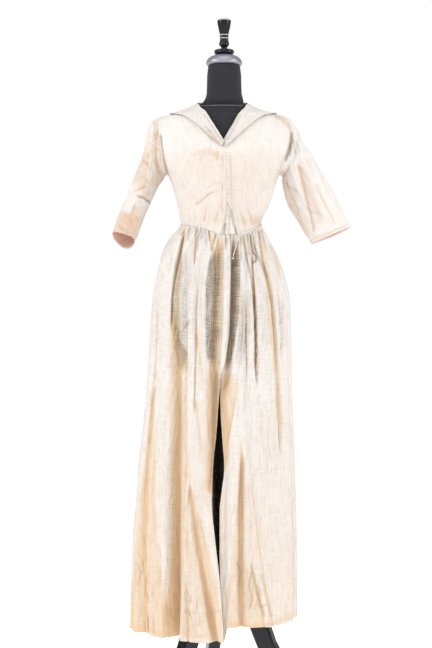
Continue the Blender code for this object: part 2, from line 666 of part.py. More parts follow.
def mesh_object(name, points, faces, finish):
    mesh = bpy.data.meshes.new(name)
    mesh.from_pydata([tuple(point) for point in points], [], faces)
    cleaned = bmesh.new()
    cleaned.from_mesh(mesh)
    bmesh.ops.recalc_face_normals(cleaned, faces=cleaned.faces)
    cleaned.to_mesh(mesh)
    cleaned.free()
    mesh.shade_smooth()
    mesh.set_sharp_from_angle(angle=math.radians(50))
    return place(bpy.data.objects.new(name, mesh), finish)


def cell_faces(points, first, second, third, fourth):
    """Two triangles for a cell, cut along its shorter diagonal."""
    if np.linalg.norm(points[first] - points[third]) <= np.linalg.norm(points[second] - points[fourth]):
        return [(first, second, third), (first, third, fourth)]
    return [(first, second, fourth), (second, third, fourth)]


def grid_normal(outside, normal, tube):
    """The grid's own normals, which keep a coarse wall from crossing itself; a free or seam edge keeps the surface's."""
    around = np.gradient(outside, axis=1)
    if tube:
        around = np.roll(outside, -1, axis=1) - np.roll(outside, 1, axis=1)
    own = np.cross(around, np.gradient(outside, axis=0))
    own = own / np.linalg.norm(own, axis=-1, keepdims=True)
    own = own * np.sign(np.sum(own * normal, axis=-1, keepdims=True))
    if not tube:
        own[0], own[-1] = normal[0], normal[-1]
        own[:, 0], own[:, -1] = normal[:, 0], normal[:, -1]
    return own


def cloth(name, outside, normal, wall, finish, tube=False):
    """A closed wall of cloth, to the back of a grid of points and normals; a tube's last column joins its first."""
    normal = grid_normal(outside, normal, tube)
    rows, columns = outside.shape[:2]
    count = rows * columns
    points = np.concatenate([outside.reshape(-1, 3), (outside - wall * normal).reshape(-1, 3)])
    faces = []
    for row in range(rows - 1):
        for column in range(columns if tube else columns - 1):
            here = row * columns + column
            beside = row * columns + (column + 1) % columns
            for face in cell_faces(points, here, beside, beside + columns, here + columns):
                faces.append(face)
                faces.append(tuple(corner + count for corner in reversed(face)))
    last_row = (rows - 1) * columns
    rims = []
    for column in range(columns if tube else columns - 1):
        beside = (column + 1) % columns
        rims += [(column, beside), (last_row + beside, last_row + column)]
    if not tube:
        for row in range(rows - 1):
            here, above = row * columns, (row + 1) * columns
            rims += [(above, here), (here + columns - 1, above + columns - 1)]
    for start, end in rims:
        faces += [(start, start + count, end + count), (start, end + count, end)]
    return mesh_object(name, points, faces, finish)


def filled(name, rings, finish):
    """A closed solid from a stack of rings, each end closed to the ring's middle."""
    levels, columns = rings.shape[:2]
    points = np.concatenate([rings.reshape(-1, 3), rings[:1].mean(axis=1), rings[-1:].mean(axis=1)])
    low, high = levels * columns, levels * columns + 1
    faces = []
    for level in range(levels - 1):
        for column in range(columns):
            here, beside = level * columns + column, level * columns + (column + 1) % columns
            faces += cell_faces(points, here, beside, beside + columns, here + columns)
    top = (levels - 1) * columns
    for column in range(columns):
        beside = (column + 1) % columns
        faces += [(low, beside, column), (high, top + column, top + beside)]
    return mesh_object(name, points, faces, finish)


def turned(name, profile, finish, shift=0.0, steps=24):
    """A turned solid from its outline, top to bottom."""
    mesh = bpy.data.meshes.new(name)
    points = [(point.radius, 0.0, point.height) for point in profile]
    mesh.from_pydata(points, [(index, index + 1) for index in range(len(points) - 1)], [])
    made = place(bpy.data.objects.new(name, mesh), finish)
    made.location.x = shift
    screw = made.modifiers.new("turn", "SCREW")
    screw.axis = "Z"
    screw.angle = math.tau
    screw.steps = screw.render_steps = steps
    screw.use_merge_vertices = True
    screw.merge_threshold = 0.0001
    screw.use_smooth_shade = True
    return made


def body_grid(domain, across, levels):
    angle, run = domain(across[None, :] + 0 * levels[:, None], levels[:, None] + 0 * across[None, :])
    return body(angle, run), body_normal(angle, run)


def bodice_levels():
    """Rows up the side seam, then one for each of the sleeve's points round half the armhole."""
    side_rows = np.linspace(0, UNDERARM_LEVEL, 6)
    arm_rows = np.linspace(UNDERARM_LEVEL, 1, ARM_COLUMNS // 2 + 1)
    return np.concatenate([side_rows, arm_rows[1:]])


def make_bodice(muslin):
    levels = bodice_levels()
    for name, side in (("bodice_front_left", -1), ("bodice_front_right", 1)):
        across = np.linspace(0, 1, 14)
        points, normal = body_grid(lambda s, t, side=side: front_panel(s, t, side), across, levels)
        cloth(name, points, normal, CLOTH_WALL, muslin)
    points, normal = body_grid(back_panel, np.linspace(0, 1, 21), levels)
    cloth("bodice_back", points, normal, CLOTH_WALL, muslin)


def make_collar(muslin):
    across, share = np.meshgrid(np.linspace(0, 1, 5), np.linspace(0, 1, 31))
    points = collar(across, share)
    normal = -normal_of(collar, across, share, 0.01, 0.004)
    cloth("collar", points, normal, COLLAR_WALL, muslin)


def sleeve_normal(arm_angle, share, side):
    def surface(first, second):
        return sleeve(first, np.clip(second, 0, 1), side)

    return -side * normal_of(surface, arm_angle, share, 2.0, 0.01)


def make_sleeves(muslin, lining):
    for name, side in (("left", -1), ("right", 1)):
        arm_angle, share = np.meshgrid(
            np.arange(ARM_COLUMNS) * 360 / ARM_COLUMNS, [0, 0.05, 0.10, 0.16, 0.24, 0.35, 0.46, 0.58, 0.72, 0.86, 1.0]
        )
        points, normal = sleeve(arm_angle, share, side), sleeve_normal(arm_angle, share, side)
        cloth(f"sleeve_{name}", points, normal, CLOTH_WALL, muslin, tube=True)
        arm_angle, share = np.meshgrid(np.arange(ARM_COLUMNS) * 360 / ARM_COLUMNS, [0.72, 0.86, 0.99])
        points, normal = sleeve(arm_angle, share, side), sleeve_normal(arm_angle, share, side)
        inside = points - normal * (CLOTH_WALL + SEAM_GAP + 0.0004)
        cloth(f"cuff_lining_{name}", inside, normal, LINING_WALL, lining, tube=True)


def skirt_piece(name, surface, start, end, columns, finish):
    """A skirt piece between two edges, each given as an angle for every share from waist to hem."""
    shares = np.array([0, 0.014, 0.04, 0.08, 0.14, 0.23, 0.34, 0.46, 0.58, 0.7, 0.84, 1.0])
    across = np.linspace(0, 1, columns)[None, :]
    first, last = start(shares)[:, None], end(shares)[:, None]
    angle = first + (last - first) * across
    share = shares[:, None] + 0 * across
    points = surface(angle, share)
    normal = normal_of(surface, angle, share, 0.6, 0.002)
    cloth(name, points, normal, CLOTH_WALL, finish)


def make_skirt(muslin):
    seam = np.degrees(SEAM_GAP / 2 / 0.11)

    def steady(angle):
        return lambda shares: angle + 0 * shares

    skirt_piece("skirt_front_left", skirt, steady(-SIDE + seam), lambda s: skirt_edge_angle(s, -1), 37, muslin)
    skirt_piece("skirt_front_right", right_front, lambda s: skirt_edge_angle(s, 1), steady(SIDE - seam), 35, muslin)
    skirt_piece("skirt_back_right", skirt, steady(SIDE + seam), steady(180 - seam), 28, muslin)
    skirt_piece("skirt_back_left", skirt, steady(180 + seam), steady(270 - seam), 28, muslin)


def make_tab(muslin):
    """The loose inner strip that shows between the fronts at the waist."""
    across, height = np.meshgrid(np.linspace(0, 1, 6), np.linspace(1.2385, 1.318, 7))
    x = -0.001 + 0.030 * across + 0.1 * (1.300 - height)
    angle, run = front_angle(x, run_at(height)), run_at(height)
    normal = body_normal(angle, run)
    points = body(angle, run) - normal * (CLOTH_WALL + 2 * SEAM_GAP)
    cloth("inner_tab", points, normal, 0.001, muslin)


def tie_path(rows):
    """Points in front of the skirt, on a smooth curve through a tie's rows."""
    shares = np.linspace(0, len(rows) - 1, 11)
    numbered = [TieStep(index, *row) for index, row in enumerate(rows)]
    angle, height, out = (read(numbered, name, shares) for name in ("angle", "height", "out"))
    drop = read(WAIST_SEAM, "height", angle) - height
    columns = [read(SKIRT, name, drop) + out for name in ("left", "right", "front", "back")]
    x, y = oval(angle, *columns, SKIRT_SQUARE)
    return np.stack([x, y, height], axis=-1)


TieStep = namedtuple("TieStep", "step angle height out")


def make_ties(cord):
    for name, rows in (("tie_right", RIGHT_TIE), ("tie_centre", CENTRE_TIE)):
        points = tie_path(rows)
        curve = bpy.data.curves.new(name, "CURVE")
        curve.dimensions = "3D"
        curve.bevel_depth = TIE_DIAMETER / 2
        curve.bevel_resolution = 2
        curve.use_fill_caps = True
        spline = curve.splines.new("POLY")
        spline.points.add(len(points) - 1)
        for point, place_at in zip(spline.points, points):
            point.co = (*place_at, 1.0)
        place(bpy.data.objects.new(name, curve), cord)
        mesh = bpy.data.meshes.new(name + "_knot")
        ball = bmesh.new()
        bmesh.ops.create_uvsphere(ball, u_segments=8, v_segments=6, radius=KNOT_RADIUS)
        ball.to_mesh(mesh)
        ball.free()
        knot = place(bpy.data.objects.new(name + "_knot", mesh), cord)
        heading = points[-1] - points[-2]
        heading = heading / np.linalg.norm(heading)
        knot.location = points[-1] + heading * (KNOT_RADIUS + SEAM_GAP)


def form_rings():
    """The form's rings, from its flat bottom to the tilted base of its neck."""
    angles = np.arange(26) * 360 / 26
    hips = [FORM_BOTTOM, 0.96, 1.03, 1.10, 1.17, 1.225, 1.2705]
    chest = [1.30, 1.335, 1.37, 1.40, 1.43, 1.46, 1.495, 1.53]
    shoulder = [1.555, 1.57, 1.5865, 1.61, 1.635, 1.662, NECK_RUN]
    runs = np.array(hips + chest + shoulder)
    angle, run = np.meshgrid(angles, runs)
    points = body(angle, run) - body_normal(angle, run) * FORM_INSET
    points[0, :, 2] = FORM_BOTTOM
    points[..., 0] = np.clip(points[..., 0], -FORM_SHOULDER, FORM_SHOULDER)
    return points


def make_form(black_cloth, cap_finish, black_gloss):
    torso = form_rings()
    filled("form_torso", torso, black_cloth)
    base = torso[-1] + np.array([0, 0, SEAM_GAP])
    angles = np.radians(np.arange(26) * 360 / 26)
    rings = [base]
    for index, row in enumerate(NECK[1:], start=1):
        share = index / (len(NECK) - 1)
        circle = np.stack([
            HEAD_SHIFT + row.radius * np.sin(angles),
            -row.radius * np.cos(angles) * (1.1 - 0.1 * share),
            row.height - NECK_TILT * (1 - share) ** 2 * np.cos(angles),
        ], axis=-1)
        rings.append(circle)
    filled("form_neck", np.array(rings), black_cloth)
    turned("neck_cap", NECK_CAP, cap_finish, HEAD_SHIFT)
    turned("finial", FINIAL, black_gloss, HEAD_SHIFT, steps=20)


def leg_outline():
    """The leg's side view, out from the axis and up: its outer side down to the foot, then its inner side back up."""
    middle = np.array([(point.out, point.height) for point in LEG])
    along = np.gradient(middle, axis=0)
    along = along / np.linalg.norm(along, axis=1, keepdims=True)
    outward = np.stack([-along[:, 1], along[:, 0]], axis=1)
    half = np.array([[point.half] for point in LEG])
    outer = middle + outward * half
    inner = middle - outward * half
    foot = [(FOOT_OUTER - 0.012, FOOT_HEIGHT), (FOOT_OUTER, FOOT_HEIGHT * 0.6), (FOOT_OUTER, 0.0), (FOOT_INNER, 0.0)]
    return [*outer, *foot, *inner[::-1]]


def make_stand(black_gloss):
    turned("column", COLUMN, black_gloss)
    turned("hub", HUB, black_gloss)
    outline = leg_outline()
    for name, azimuth in LEG_AZIMUTHS.items():
        curve = bpy.data.curves.new(name, "CURVE")
        curve.dimensions = "2D"
        curve.fill_mode = "BOTH"
        curve.extrude = LEG_THICKNESS / 2
        spline = curve.splines.new("POLY")
        spline.points.add(len(outline) - 1)
        spline.use_cyclic_u = True
        for point, (out, height) in zip(spline.points, outline):
            point.co = (out, height, 0.0, 1.0)
        leg = place(bpy.data.objects.new(name, curve), black_gloss)
        leg.rotation_euler = (math.pi / 2, 0.0, math.radians(azimuth))
        weld = leg.modifiers.new("weld", "WELD")
        weld.merge_threshold = 0.00005
        chamfer = leg.modifiers.new("chamfer", "BEVEL")
        chamfer.width = LEG_CHAMFER
        chamfer.segments = 1
        chamfer.limit_method = "ANGLE"
        chamfer.angle_limit = math.radians(60)


COLLECTION = "regency_gown_on_a_dress_form"


def main():
    for obj in list(bpy.data.objects):
        bpy.data.objects.remove(obj)
    bpy.context.scene.collection.children.link(bpy.data.collections.new(COLLECTION))
    axis = bpy.data.objects.new("stand_axis", None)
    axis.location = (AXIS_X, AXIS_Y, 0.0)
    bpy.data.collections[COLLECTION].objects.link(axis)
    muslin = material("ivory_muslin", (0.86, 0.78, 0.68), 0.85)
    lining = material("salmon_lining", (0.80, 0.44, 0.32), 0.85)
    cord = material("ivory_cord", (0.88, 0.82, 0.72), 0.8)
    black_cloth = material("black_jersey", (0.035, 0.034, 0.040), 0.9)
    cap_finish = material("silver_cap", (0.52, 0.52, 0.55), 0.3, 0.9)
    black_gloss = material("black_lacquer", (0.012, 0.012, 0.016), 0.25)
    make_bodice(muslin)
    make_collar(muslin)
    make_sleeves(muslin, lining)
    make_skirt(muslin)
    make_tab(muslin)
    make_ties(cord)
    make_form(black_cloth, cap_finish, black_gloss)
    make_stand(black_gloss)


main()
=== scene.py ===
"""A regency gown of sheer striped muslin on its black dress form and stand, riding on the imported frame.

Metres, +Z up, front towards -Y. Every piece of cloth is a closed thin shell that follows the same tables and
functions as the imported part, with the smaller gathers, creases, stitches and threads added to it.
"""

import math
from collections import namedtuple

import bmesh
import bpy
import numpy as np
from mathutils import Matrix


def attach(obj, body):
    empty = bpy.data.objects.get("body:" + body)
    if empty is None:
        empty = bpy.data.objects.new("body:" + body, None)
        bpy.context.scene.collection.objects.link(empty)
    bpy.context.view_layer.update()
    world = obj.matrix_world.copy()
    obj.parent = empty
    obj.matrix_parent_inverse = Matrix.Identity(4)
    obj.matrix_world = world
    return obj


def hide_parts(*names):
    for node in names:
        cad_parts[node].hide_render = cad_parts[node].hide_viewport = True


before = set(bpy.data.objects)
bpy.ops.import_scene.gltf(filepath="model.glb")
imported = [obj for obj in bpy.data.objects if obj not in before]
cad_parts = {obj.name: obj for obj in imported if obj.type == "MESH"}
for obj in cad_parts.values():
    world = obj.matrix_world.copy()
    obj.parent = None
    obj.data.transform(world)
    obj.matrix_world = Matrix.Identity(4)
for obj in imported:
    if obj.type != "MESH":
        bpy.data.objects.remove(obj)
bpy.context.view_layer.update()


def table(columns, text):
    """A table of numbers with named columns, one row a line."""
    row = namedtuple("Row", columns)
    return [row(*map(float, line.split())) for line in text.strip().splitlines()]


# Driving dimensions.
AXIS_X = -0.0248  # the stand's axis, from the middle of the whole object
AXIS_Y = -0.0418
CLOTH_WALL = 0.0016
COLLAR_LIFT = 0.0049
SEAM_GAP = 0.0003
WAIST_GAP = 0.0019
ARMHOLE_GAP = 0.0009
FORM_INSET = 0.0075
FORM_SHOULDER = 0.1400
FORM_BOTTOM = 0.906
NECK_RUN = 1.6884
UNDERARM_RUN = 1.4055
SHOULDER_RUN = {-1: 1.5865, 1: 1.6130}
ARMHOLE_FRONT = 26.0
ARMHOLE_BACK = 24.0
UNDERARM_LEVEL = 0.45
NECKLINE_ARM_ANGLE = 80.0
BACK_POWER = 3  # how late the back's rows take on the slope of its shoulders
NECKLINE_BOTTOM = 1.481
NECKLINE_TOP = 1.598
NECK_TILT = 0.012
NECK_TILT_RUN = 1.60
BUST_RISE = 0.017
BUST_OUT = 0.072
BUST_HEIGHT = 1.425
BUST_WIDE = 0.052
BUST_TALL = 0.050
GATHERS = 34
GATHER_DEPTH = 0.0050
GATHER_REACH = 0.15
FOLD_TOP = 1.20
FOLD_RUN = 1.02
FOLD_FADE = 0.06
FOLD_START = 0.08
TUCK = 0.009
TUCK_WIDTH = 9.0
TUCK_START = 0.07
SIDE = 90.0
SIDE_SEAM = np.degrees(SEAM_GAP / 2 / 0.11)  # half the gap there, in degrees
TIE_DIAMETER = 0.0026
KNOT_RADIUS = 0.0042

# The form's hips, then the bodice. The run is the height up to the underarm, then follows the shoulder.
BODY = table("run height left right front back square", """
0.906 0.906 0.122 0.122 0.098 0.108 2.2
1.04 1.04 0.14 0.14 0.112 0.124 2.2
1.13 1.13 0.133 0.133 0.106 0.116 2.2
1.21 1.21 0.115 0.109 0.095 0.095 2.2
1.2705 1.2705 0.1134 0.1018 0.092 0.085 2.2
1.3245 1.3245 0.1229 0.1256 0.1 0.09 2.3
1.3785 1.3785 0.1377 0.1415 0.109 0.1 2.4
1.4055 1.4055 0.1485 0.1512 0.111 0.104 2.4
1.4455 1.438 0.172 0.172 0.108 0.109 2.3
1.4895 1.48 0.186 0.196 0.101 0.111 2.2
1.5295 1.52 0.189 0.198 0.09 0.108 2.1
1.5547 1.545 0.186 0.19 0.079 0.101 2
1.5696 1.556 0.176 0.178 0.072 0.095 2
1.5865 1.562 0.162 0.164 0.068 0.09 2
1.6093 1.5665 0.1385 0.14 0.064 0.084 2
1.6321 1.5735 0.116 0.112 0.061 0.079 2
1.6609 1.584 0.09 0.086 0.059 0.073 2
1.6884 1.598 0.066 0.063 0.058 0.066 2
1.7 1.608 0.062 0.06 0.057 0.064 2
""")

WAIST_SEAM = table("angle height", """
-180 1.283
-90 1.273
-45 1.262
-26 1.257
-15 1.248
-6 1.2385
14 1.2375
31 1.24
50 1.252
70 1.264
90 1.273
180 1.283
""")

HEM = table("angle height", """
-180 0.19
-120 0.186
-90 0.183
-60 0.188
-30 0.184
-8 0.18
0 0.181
3 0.219
40 0.217
90 0.222
130 0.206
180 0.19
""")

# How far the left front's edge stands from the axis, towards +X, and how far the fronts are apart.
BODICE_EDGES = table("height left apart", """
1.237 -0.0105 0.0495
1.2505 -0.004 0.038
1.2715 0.003 0.0225
1.308 0.0092 0.0093
1.345 0.0098 0.0007
1.481 0.0034 0.0007
""")

SKIRT_EDGES = table("height left right", """
0.18 0.001 -0.011
0.287 -0.0052 -0.01
0.351 -0.0104 -0.0088
0.442 -0.0208 -0.0104
0.546 -0.03 -0.0098
0.598 -0.0302 -0.0039
0.65 -0.0286 0.0026
0.702 -0.0221 -0.0013
0.754 -0.0169 -0.0052
0.806 -0.013 -0.0091
0.87 -0.0065 -0.011
0.91 0.0052 -0.004
0.987 0.0169 0.006
1.12 0.0178 0.011
1.195 0.0182 0.0192
""")

# The skirt's inner face, measured down from the waist seam. Its folds are let into this outline.
SKIRT = table("drop left right front back", """
0 0.1146 0.103 0.093 0.086
0.012 0.12 0.107 0.0955 0.091
0.03 0.136 0.117 0.103 0.105
0.057 0.1545 0.132 0.114 0.121
0.097 0.169 0.152 0.126 0.139
0.151 0.18 0.17 0.135 0.156
0.205 0.19 0.1796 0.14 0.169
0.313 0.197 0.1836 0.144 0.181
0.421 0.204 0.185 0.147 0.189
0.529 0.213 0.189 0.15 0.197
0.637 0.2268 0.193 0.153 0.205
0.745 0.2349 0.1958 0.156 0.212
0.853 0.243 0.1985 0.159 0.218
1.091 0.25 0.2 0.165 0.226
""")

SKIRT_SQUARE = 2.15
SKIRT_EDGE_TOP = 1.238
SKIRT_EDGE_BOTTOM = {-1: 0.181, 1: 0.219}
# Angles and half widths in degrees, at the waist, knee and hem; depths in millimetres, heights in metres.
FOLDS = table(
    "waist_angle knee_angle hem_angle waist_width hem_width waist_depth knee_depth hem_depth top bottom", """
-84 -84 -80 5 8 3 8 16 1.12 0.1
-66 -64 -57 5 9 2 12 20 1.02 0.1
-44 -33.5 -32 6.5 8 9 25 52 1.21 0.1
-20 -20 -20 2.5 2.5 5 5 0 1.06 0.8
-35 -24 -4 3 4.5 0 4 27 0.6 0.1
-30 -27 -20 1.8 2 0 0 6 0.38 0.1
-4 -8 -8 6.5 4 17 20 8 1.22 0.6
11.5 1 0 5 4.5 19 14 0 1.22 0.86
-3 -3 -3 17 8 22 20 0 0.84 0.66
17 18 18 2 2 4 4 0 1.02 0.88
25.5 27 27 2.2 2.2 14 15 0 1.17 0.89
42 51 56 3.2 3.2 12 13 5 1.21 0.7
55 55 55 2.2 2.2 6 6 0 1.06 0.95
30 15 13 3 6 0 14 18 0.63 0.1
30 15.5 37 3 4 0 -6 -8 0.66 0.1
70 71 72 5 6 4 8 12 1.15 0.1
88 90 92 5 6 3 12 18 1.15 0.1
108 110 112 5 7 6 16 26 1.2 0.1
126 128 127 4 6 6 14 22 1.2 0.1
143 144 146 5 8 10 22 36 1.22 0.1
160 162 161 4 6 9 18 24 1.22 0.1
176 179 178 4.5 7 12 24 36 1.22 0.1
-166 -163 -164 4 6 10 18 26 1.22 0.1
-149 -147 -145 4.5 8 10 22 34 1.22 0.1
-133 -130 -127 4 6 7 14 24 1.2 0.1
-115 -113 -108 5 7 5 15 26 1.2 0.1
""")

# Each sleeve's rings: the outer and under points in the plane of the front, the middle's y, the half depth,
# how far the front and back of the ring bow out, away from the body, and how steeply the ring leans. Its
# front rises by half that share of the half depth, and its back drops by one and a half times the share.
LEFT_SLEEVE = table("share outer_x outer_z under_x under_z y through bow lean", """
0 -0.164 1.561 -0.15 1.404 0.003 0.048 0.016 0
0.05 -0.193 1.55 -0.154 1.401 0.003 0.048 0.006 0
0.12 -0.204 1.524 -0.1595 1.394 0.003 0.049 0.003 0
0.22 -0.2133 1.473 -0.166 1.3866 0.003 0.049 0 0
0.34 -0.2268 1.4325 -0.1755 1.3731 0.002 0.0485 0 0
0.46 -0.243 1.392 -0.189 1.3434 0 0.048 0 0.02
0.58 -0.2592 1.3515 -0.199 1.3218 -0.005 0.047 0 0.1
0.72 -0.274 1.311 -0.2106 1.2948 -0.016 0.0455 0 0.22
0.86 -0.286 1.276 -0.222 1.261 -0.03 0.0445 0 0.33
1 -0.296 1.241 -0.235 1.224 -0.046 0.044 0 0.4
""")

RIGHT_SLEEVE = table("share outer_x outer_z under_x under_z y through bow lean", """
0 0.139 1.569 0.153 1.404 0.003 0.048 0.042 0
0.05 0.184 1.556 0.157 1.4 0.003 0.047 0.017 0
0.12 0.206 1.52 0.159 1.394 0.003 0.045 0.008 0
0.22 0.216 1.4919 0.16 1.386 0.002 0.042 0.003 0
0.34 0.2376 1.4649 0.162 1.3731 0 0.037 0 0
0.46 0.2619 1.419 0.167 1.3461 -0.002 0.031 0 0.02
0.58 0.2889 1.3758 0.1769 1.3191 -0.004 0.027 0 0.05
0.72 0.3105 1.3326 0.193 1.2935 -0.007 0.0235 0 0.08
0.86 0.3281 1.2975 0.2133 1.2584 -0.01 0.021 0 0.12
1 0.3456 1.2638 0.2376 1.2179 -0.014 0.018 0 0.15
""")

SLEEVE_HEAD = 0.16  # the share over which a sleeve leaves the armhole's shape
HEAD_TRAVEL = {-1: 0.36, 1: 0.46}  # how fast its top moves out over that share, in metres

COLLAR_OUTER = table("share angle run", """
0 1 1.476
0.1 9 1.505
0.2 19 1.534
0.3 38 1.57
0.42 90 1.606
0.6 128 1.59
1 180 1.574
""")

# A tie's points on the skirt: the angle and height, and how far it stands out from the cloth's outline.
RIGHT_TIE = table("step angle height out", """
0 38 1.242 0.003
1 36.5 1.23 0.0036
2 33 1.213 0.0036
3 31 1.198 0.0034
4 30 1.184 0.0054
""")

CENTRE_TIE = table("step angle height out", """
0 19.5 1.233 0.003
1 17.5 1.22 0.0034
2 14.5 1.204 0.0034
3 11 1.189 0.0032
4 9.5 1.178 0.0052
""")

HEAD_SHIFT = 0.003

NECK = table("radius height", """
0.059 1.598
0.051 1.611
0.0475 1.624
0.0466 1.65
0.046 1.675
0.043 1.699
""")

NECK_CAP = table("radius height", """
0 1.73
0.022 1.7285
0.037 1.724
0.0455 1.717
0.0486 1.709
0.0486 1.704
0.044 1.6993
0 1.6993
""")

FINIAL = table("radius height", """
0 1.829
0.012 1.828
0.018 1.824
0.0189 1.819
0.016 1.802
0.0118 1.786
0.0122 1.782
0.0112 1.778
0.0122 1.774
0.0108 1.77
0.0135 1.762
0.0139 1.756
0.008 1.75
0.0075 1.744
0.024 1.743
0.0268 1.74
0.0268 1.734
0.024 1.7303
0 1.7303
""")


def read(rows, column, at):
    """A table's column at any place along its first column, on a smooth curve that never overshoots."""
    keys = np.array([row[0] for row in rows], float)
    values = np.array([getattr(row, column) for row in rows], float)
    at = np.clip(at, keys[0], keys[-1])
    steps = np.diff(keys)
    rises = np.diff(values) / steps
    slopes = np.zeros_like(values)
    slopes[0] = rises[0]
    slopes[-1] = rises[-1]
    before, after = rises[:-1], rises[1:]
    inner = slopes[1:-1]
    same_way = before * after > 0
    inner[same_way] = 2 * before[same_way] * after[same_way] / (before + after)[same_way]
    span = np.clip(np.searchsorted(keys, at, side="right") - 1, 0, len(steps) - 1)
    width = steps[span]
    u = (at - keys[span]) / width
    return (
        values[span] * (1 + 2 * u) * (1 - u) ** 2
        + slopes[span] * width * u * (1 - u) ** 2
        + values[span + 1] * u * u * (3 - 2 * u)
        - slopes[span + 1] * width * u * u * (1 - u)
    )


def ease(value):
    """0 below 0, 1 above 1 and smooth between them."""
    value = np.clip(value, 0, 1)
    return value * value * (3 - 2 * value)


def oval(angle, left, right, front, back, square):
    """X and Y on a section squarer than an ellipse, at an angle in degrees from centre front."""
    sine, cosine = np.sin(np.radians(angle)), np.cos(np.radians(angle))
    power = 2 / square
    half = np.where(sine < 0, left, right)
    depth = np.where(cosine > 0, front, back)
    x = half * np.sign(sine) * np.abs(sine) ** power
    y = -depth * np.sign(cosine) * np.abs(cosine) ** power
    return x, y


def body_outline(angle, run):
    """X and Y of the body's section at a run, without its cups."""
    columns = [read(BODY, name, run) for name in ("left", "right", "front", "back", "square")]
    return oval(angle, *columns)


def skirt_outline(angle, drop, out):
    """X and Y of the skirt's section at a drop below the waist seam, moved out."""
    columns = [read(SKIRT, name, drop) + out for name in ("left", "right", "front", "back")]
    return oval(angle, *columns, SKIRT_SQUARE)


def unit(vectors):
    return vectors / np.linalg.norm(vectors, axis=-1, keepdims=True)


def body(angle, run):
    """The bodice's outside, which is also the form's shape, with a cup on each side of the front."""
    angle, run = np.broadcast_arrays(np.asarray(angle, float), np.asarray(run, float))
    x, y = body_outline(angle, run)
    tilt = NECK_TILT * ease((run - NECK_TILT_RUN) / (NECK_RUN - NECK_TILT_RUN))
    z = read(BODY, "height", run) - tilt * np.cos(np.radians(angle))
    cups = sum(np.exp(-(((x - side * BUST_OUT) / BUST_WIDE) ** 2)) for side in (-1, 1))
    front_only = ease(np.cos(np.radians(angle)) * 2)
    y = y - BUST_RISE * cups * np.exp(-(((z - BUST_HEIGHT) / BUST_TALL) ** 2)) * front_only
    return np.stack([x, y, z], axis=-1)


def normal_of(surface, first, second, first_step, second_step):
    """The outward unit normal of a surface of two parameters."""
    along = surface(first + first_step, second) - surface(first - first_step, second)
    up = surface(first, second + second_step) - surface(first, second - second_step)
    return unit(np.cross(along, up))


def body_normal(angle, run):
    return normal_of(body, angle, run, 0.4, 0.0006)


def run_at(height):
    """The run whose section lies at this height."""
    runs = np.linspace(BODY[0].run, BODY[-1].run, 400)
    return np.interp(height, read(BODY, "height", runs), runs)


def front_angle(x, run):
    """The angle at which the bodice's front stands x from the axis."""
    half = np.where(x < 0, read(BODY, "left", run), read(BODY, "right", run))
    sine = np.clip(np.abs(x) / half, 0, 1) ** (read(BODY, "square", run) / 2)
    return np.sign(x) * np.degrees(np.arcsin(sine))


def side_column(side):
    return "left" if side < 0 else "right"


def neck_half(side):
    """How far from the axis a shoulder seam meets the neck."""
    return float(read(BODY, side_column(side), NECK_RUN))


def ridge_run(x, side):
    """The run at which the shoulder stands x from the axis."""
    runs = np.linspace(SHOULDER_RUN[side], NECK_RUN, 120)
    halves = read(BODY, side_column(side), runs)
    return np.interp(x, halves[::-1], runs[::-1])


def armhole(arm_angle, side):
    """Angle and run on the armhole, whose 0 degrees is the underarm, 90 the front and 180 the shoulder."""
    turn = np.sin(np.radians(arm_angle))
    swing = np.where(turn > 0, ARMHOLE_FRONT, ARMHOLE_BACK) * turn
    middle, half = (SHOULDER_RUN[side] + UNDERARM_RUN) / 2, (SHOULDER_RUN[side] - UNDERARM_RUN) / 2
    return side * (SIDE - swing), middle - half * np.cos(np.radians(arm_angle))


def arm_angle_at(level):
    return 180 * np.clip((level - UNDERARM_LEVEL) / (1 - UNDERARM_LEVEL), 0, 1)


def side_edge(level, side, back):
    """Angle and run up a side seam and on round the armhole to the shoulder."""
    arm_angle = arm_angle_at(level)
    angle, run = armhole(360 - arm_angle if back else arm_angle, side)
    waist = read(WAIST_SEAM, "height", side * SIDE)
    below = waist + (UNDERARM_RUN - waist) * level / UNDERARM_LEVEL
    return np.where(level < UNDERARM_LEVEL, side * SIDE, angle), np.where(level < UNDERARM_LEVEL, below, run)


def front_edge(level, side):
    """Angle and run up a front's edge, then along its slanting neckline to the shoulder seam."""
    split = UNDERARM_LEVEL + (1 - UNDERARM_LEVEL) * NECKLINE_ARM_ANGLE / 180
    bottom = BODICE_EDGES[0].height
    height = np.where(
        level < split,
        bottom + (NECKLINE_BOTTOM - bottom) * level / split,
        NECKLINE_BOTTOM + (NECKLINE_TOP - NECKLINE_BOTTOM) * (level - split) / (1 - split),
    )
    share = np.clip((height - NECKLINE_BOTTOM) / (NECKLINE_TOP - NECKLINE_BOTTOM), 0, 1)
    bottom_x = read(BODICE_EDGES, "left", height) + (read(BODICE_EDGES, "apart", height) if side > 0 else 0)
    slanted = bottom_x * (1 - share) + side * neck_half(side) * share
    x = np.where(level < split, bottom_x, slanted)
    run = run_at(height)
    return front_angle(x, run), run


def blend_edges(across, level, bottom, top, start, end, power=1):
    """A four-sided patch of angles and runs between its bottom, top, start and end edges."""
    upper = level**power
    patch = []
    for axis in range(2):
        flat = (
            (1 - across) * (1 - upper) * bottom(0.0)[axis]
            + across * (1 - upper) * bottom(1.0)[axis]
            + (1 - across) * upper * top(0.0)[axis]
            + across * upper * top(1.0)[axis]
        )
        edges = (1 - upper) * bottom(across)[axis] + upper * top(across)[axis]
        edges = edges + (1 - across) * start(level)[axis] + across * end(level)[axis]
        patch.append(edges - flat)
    return patch


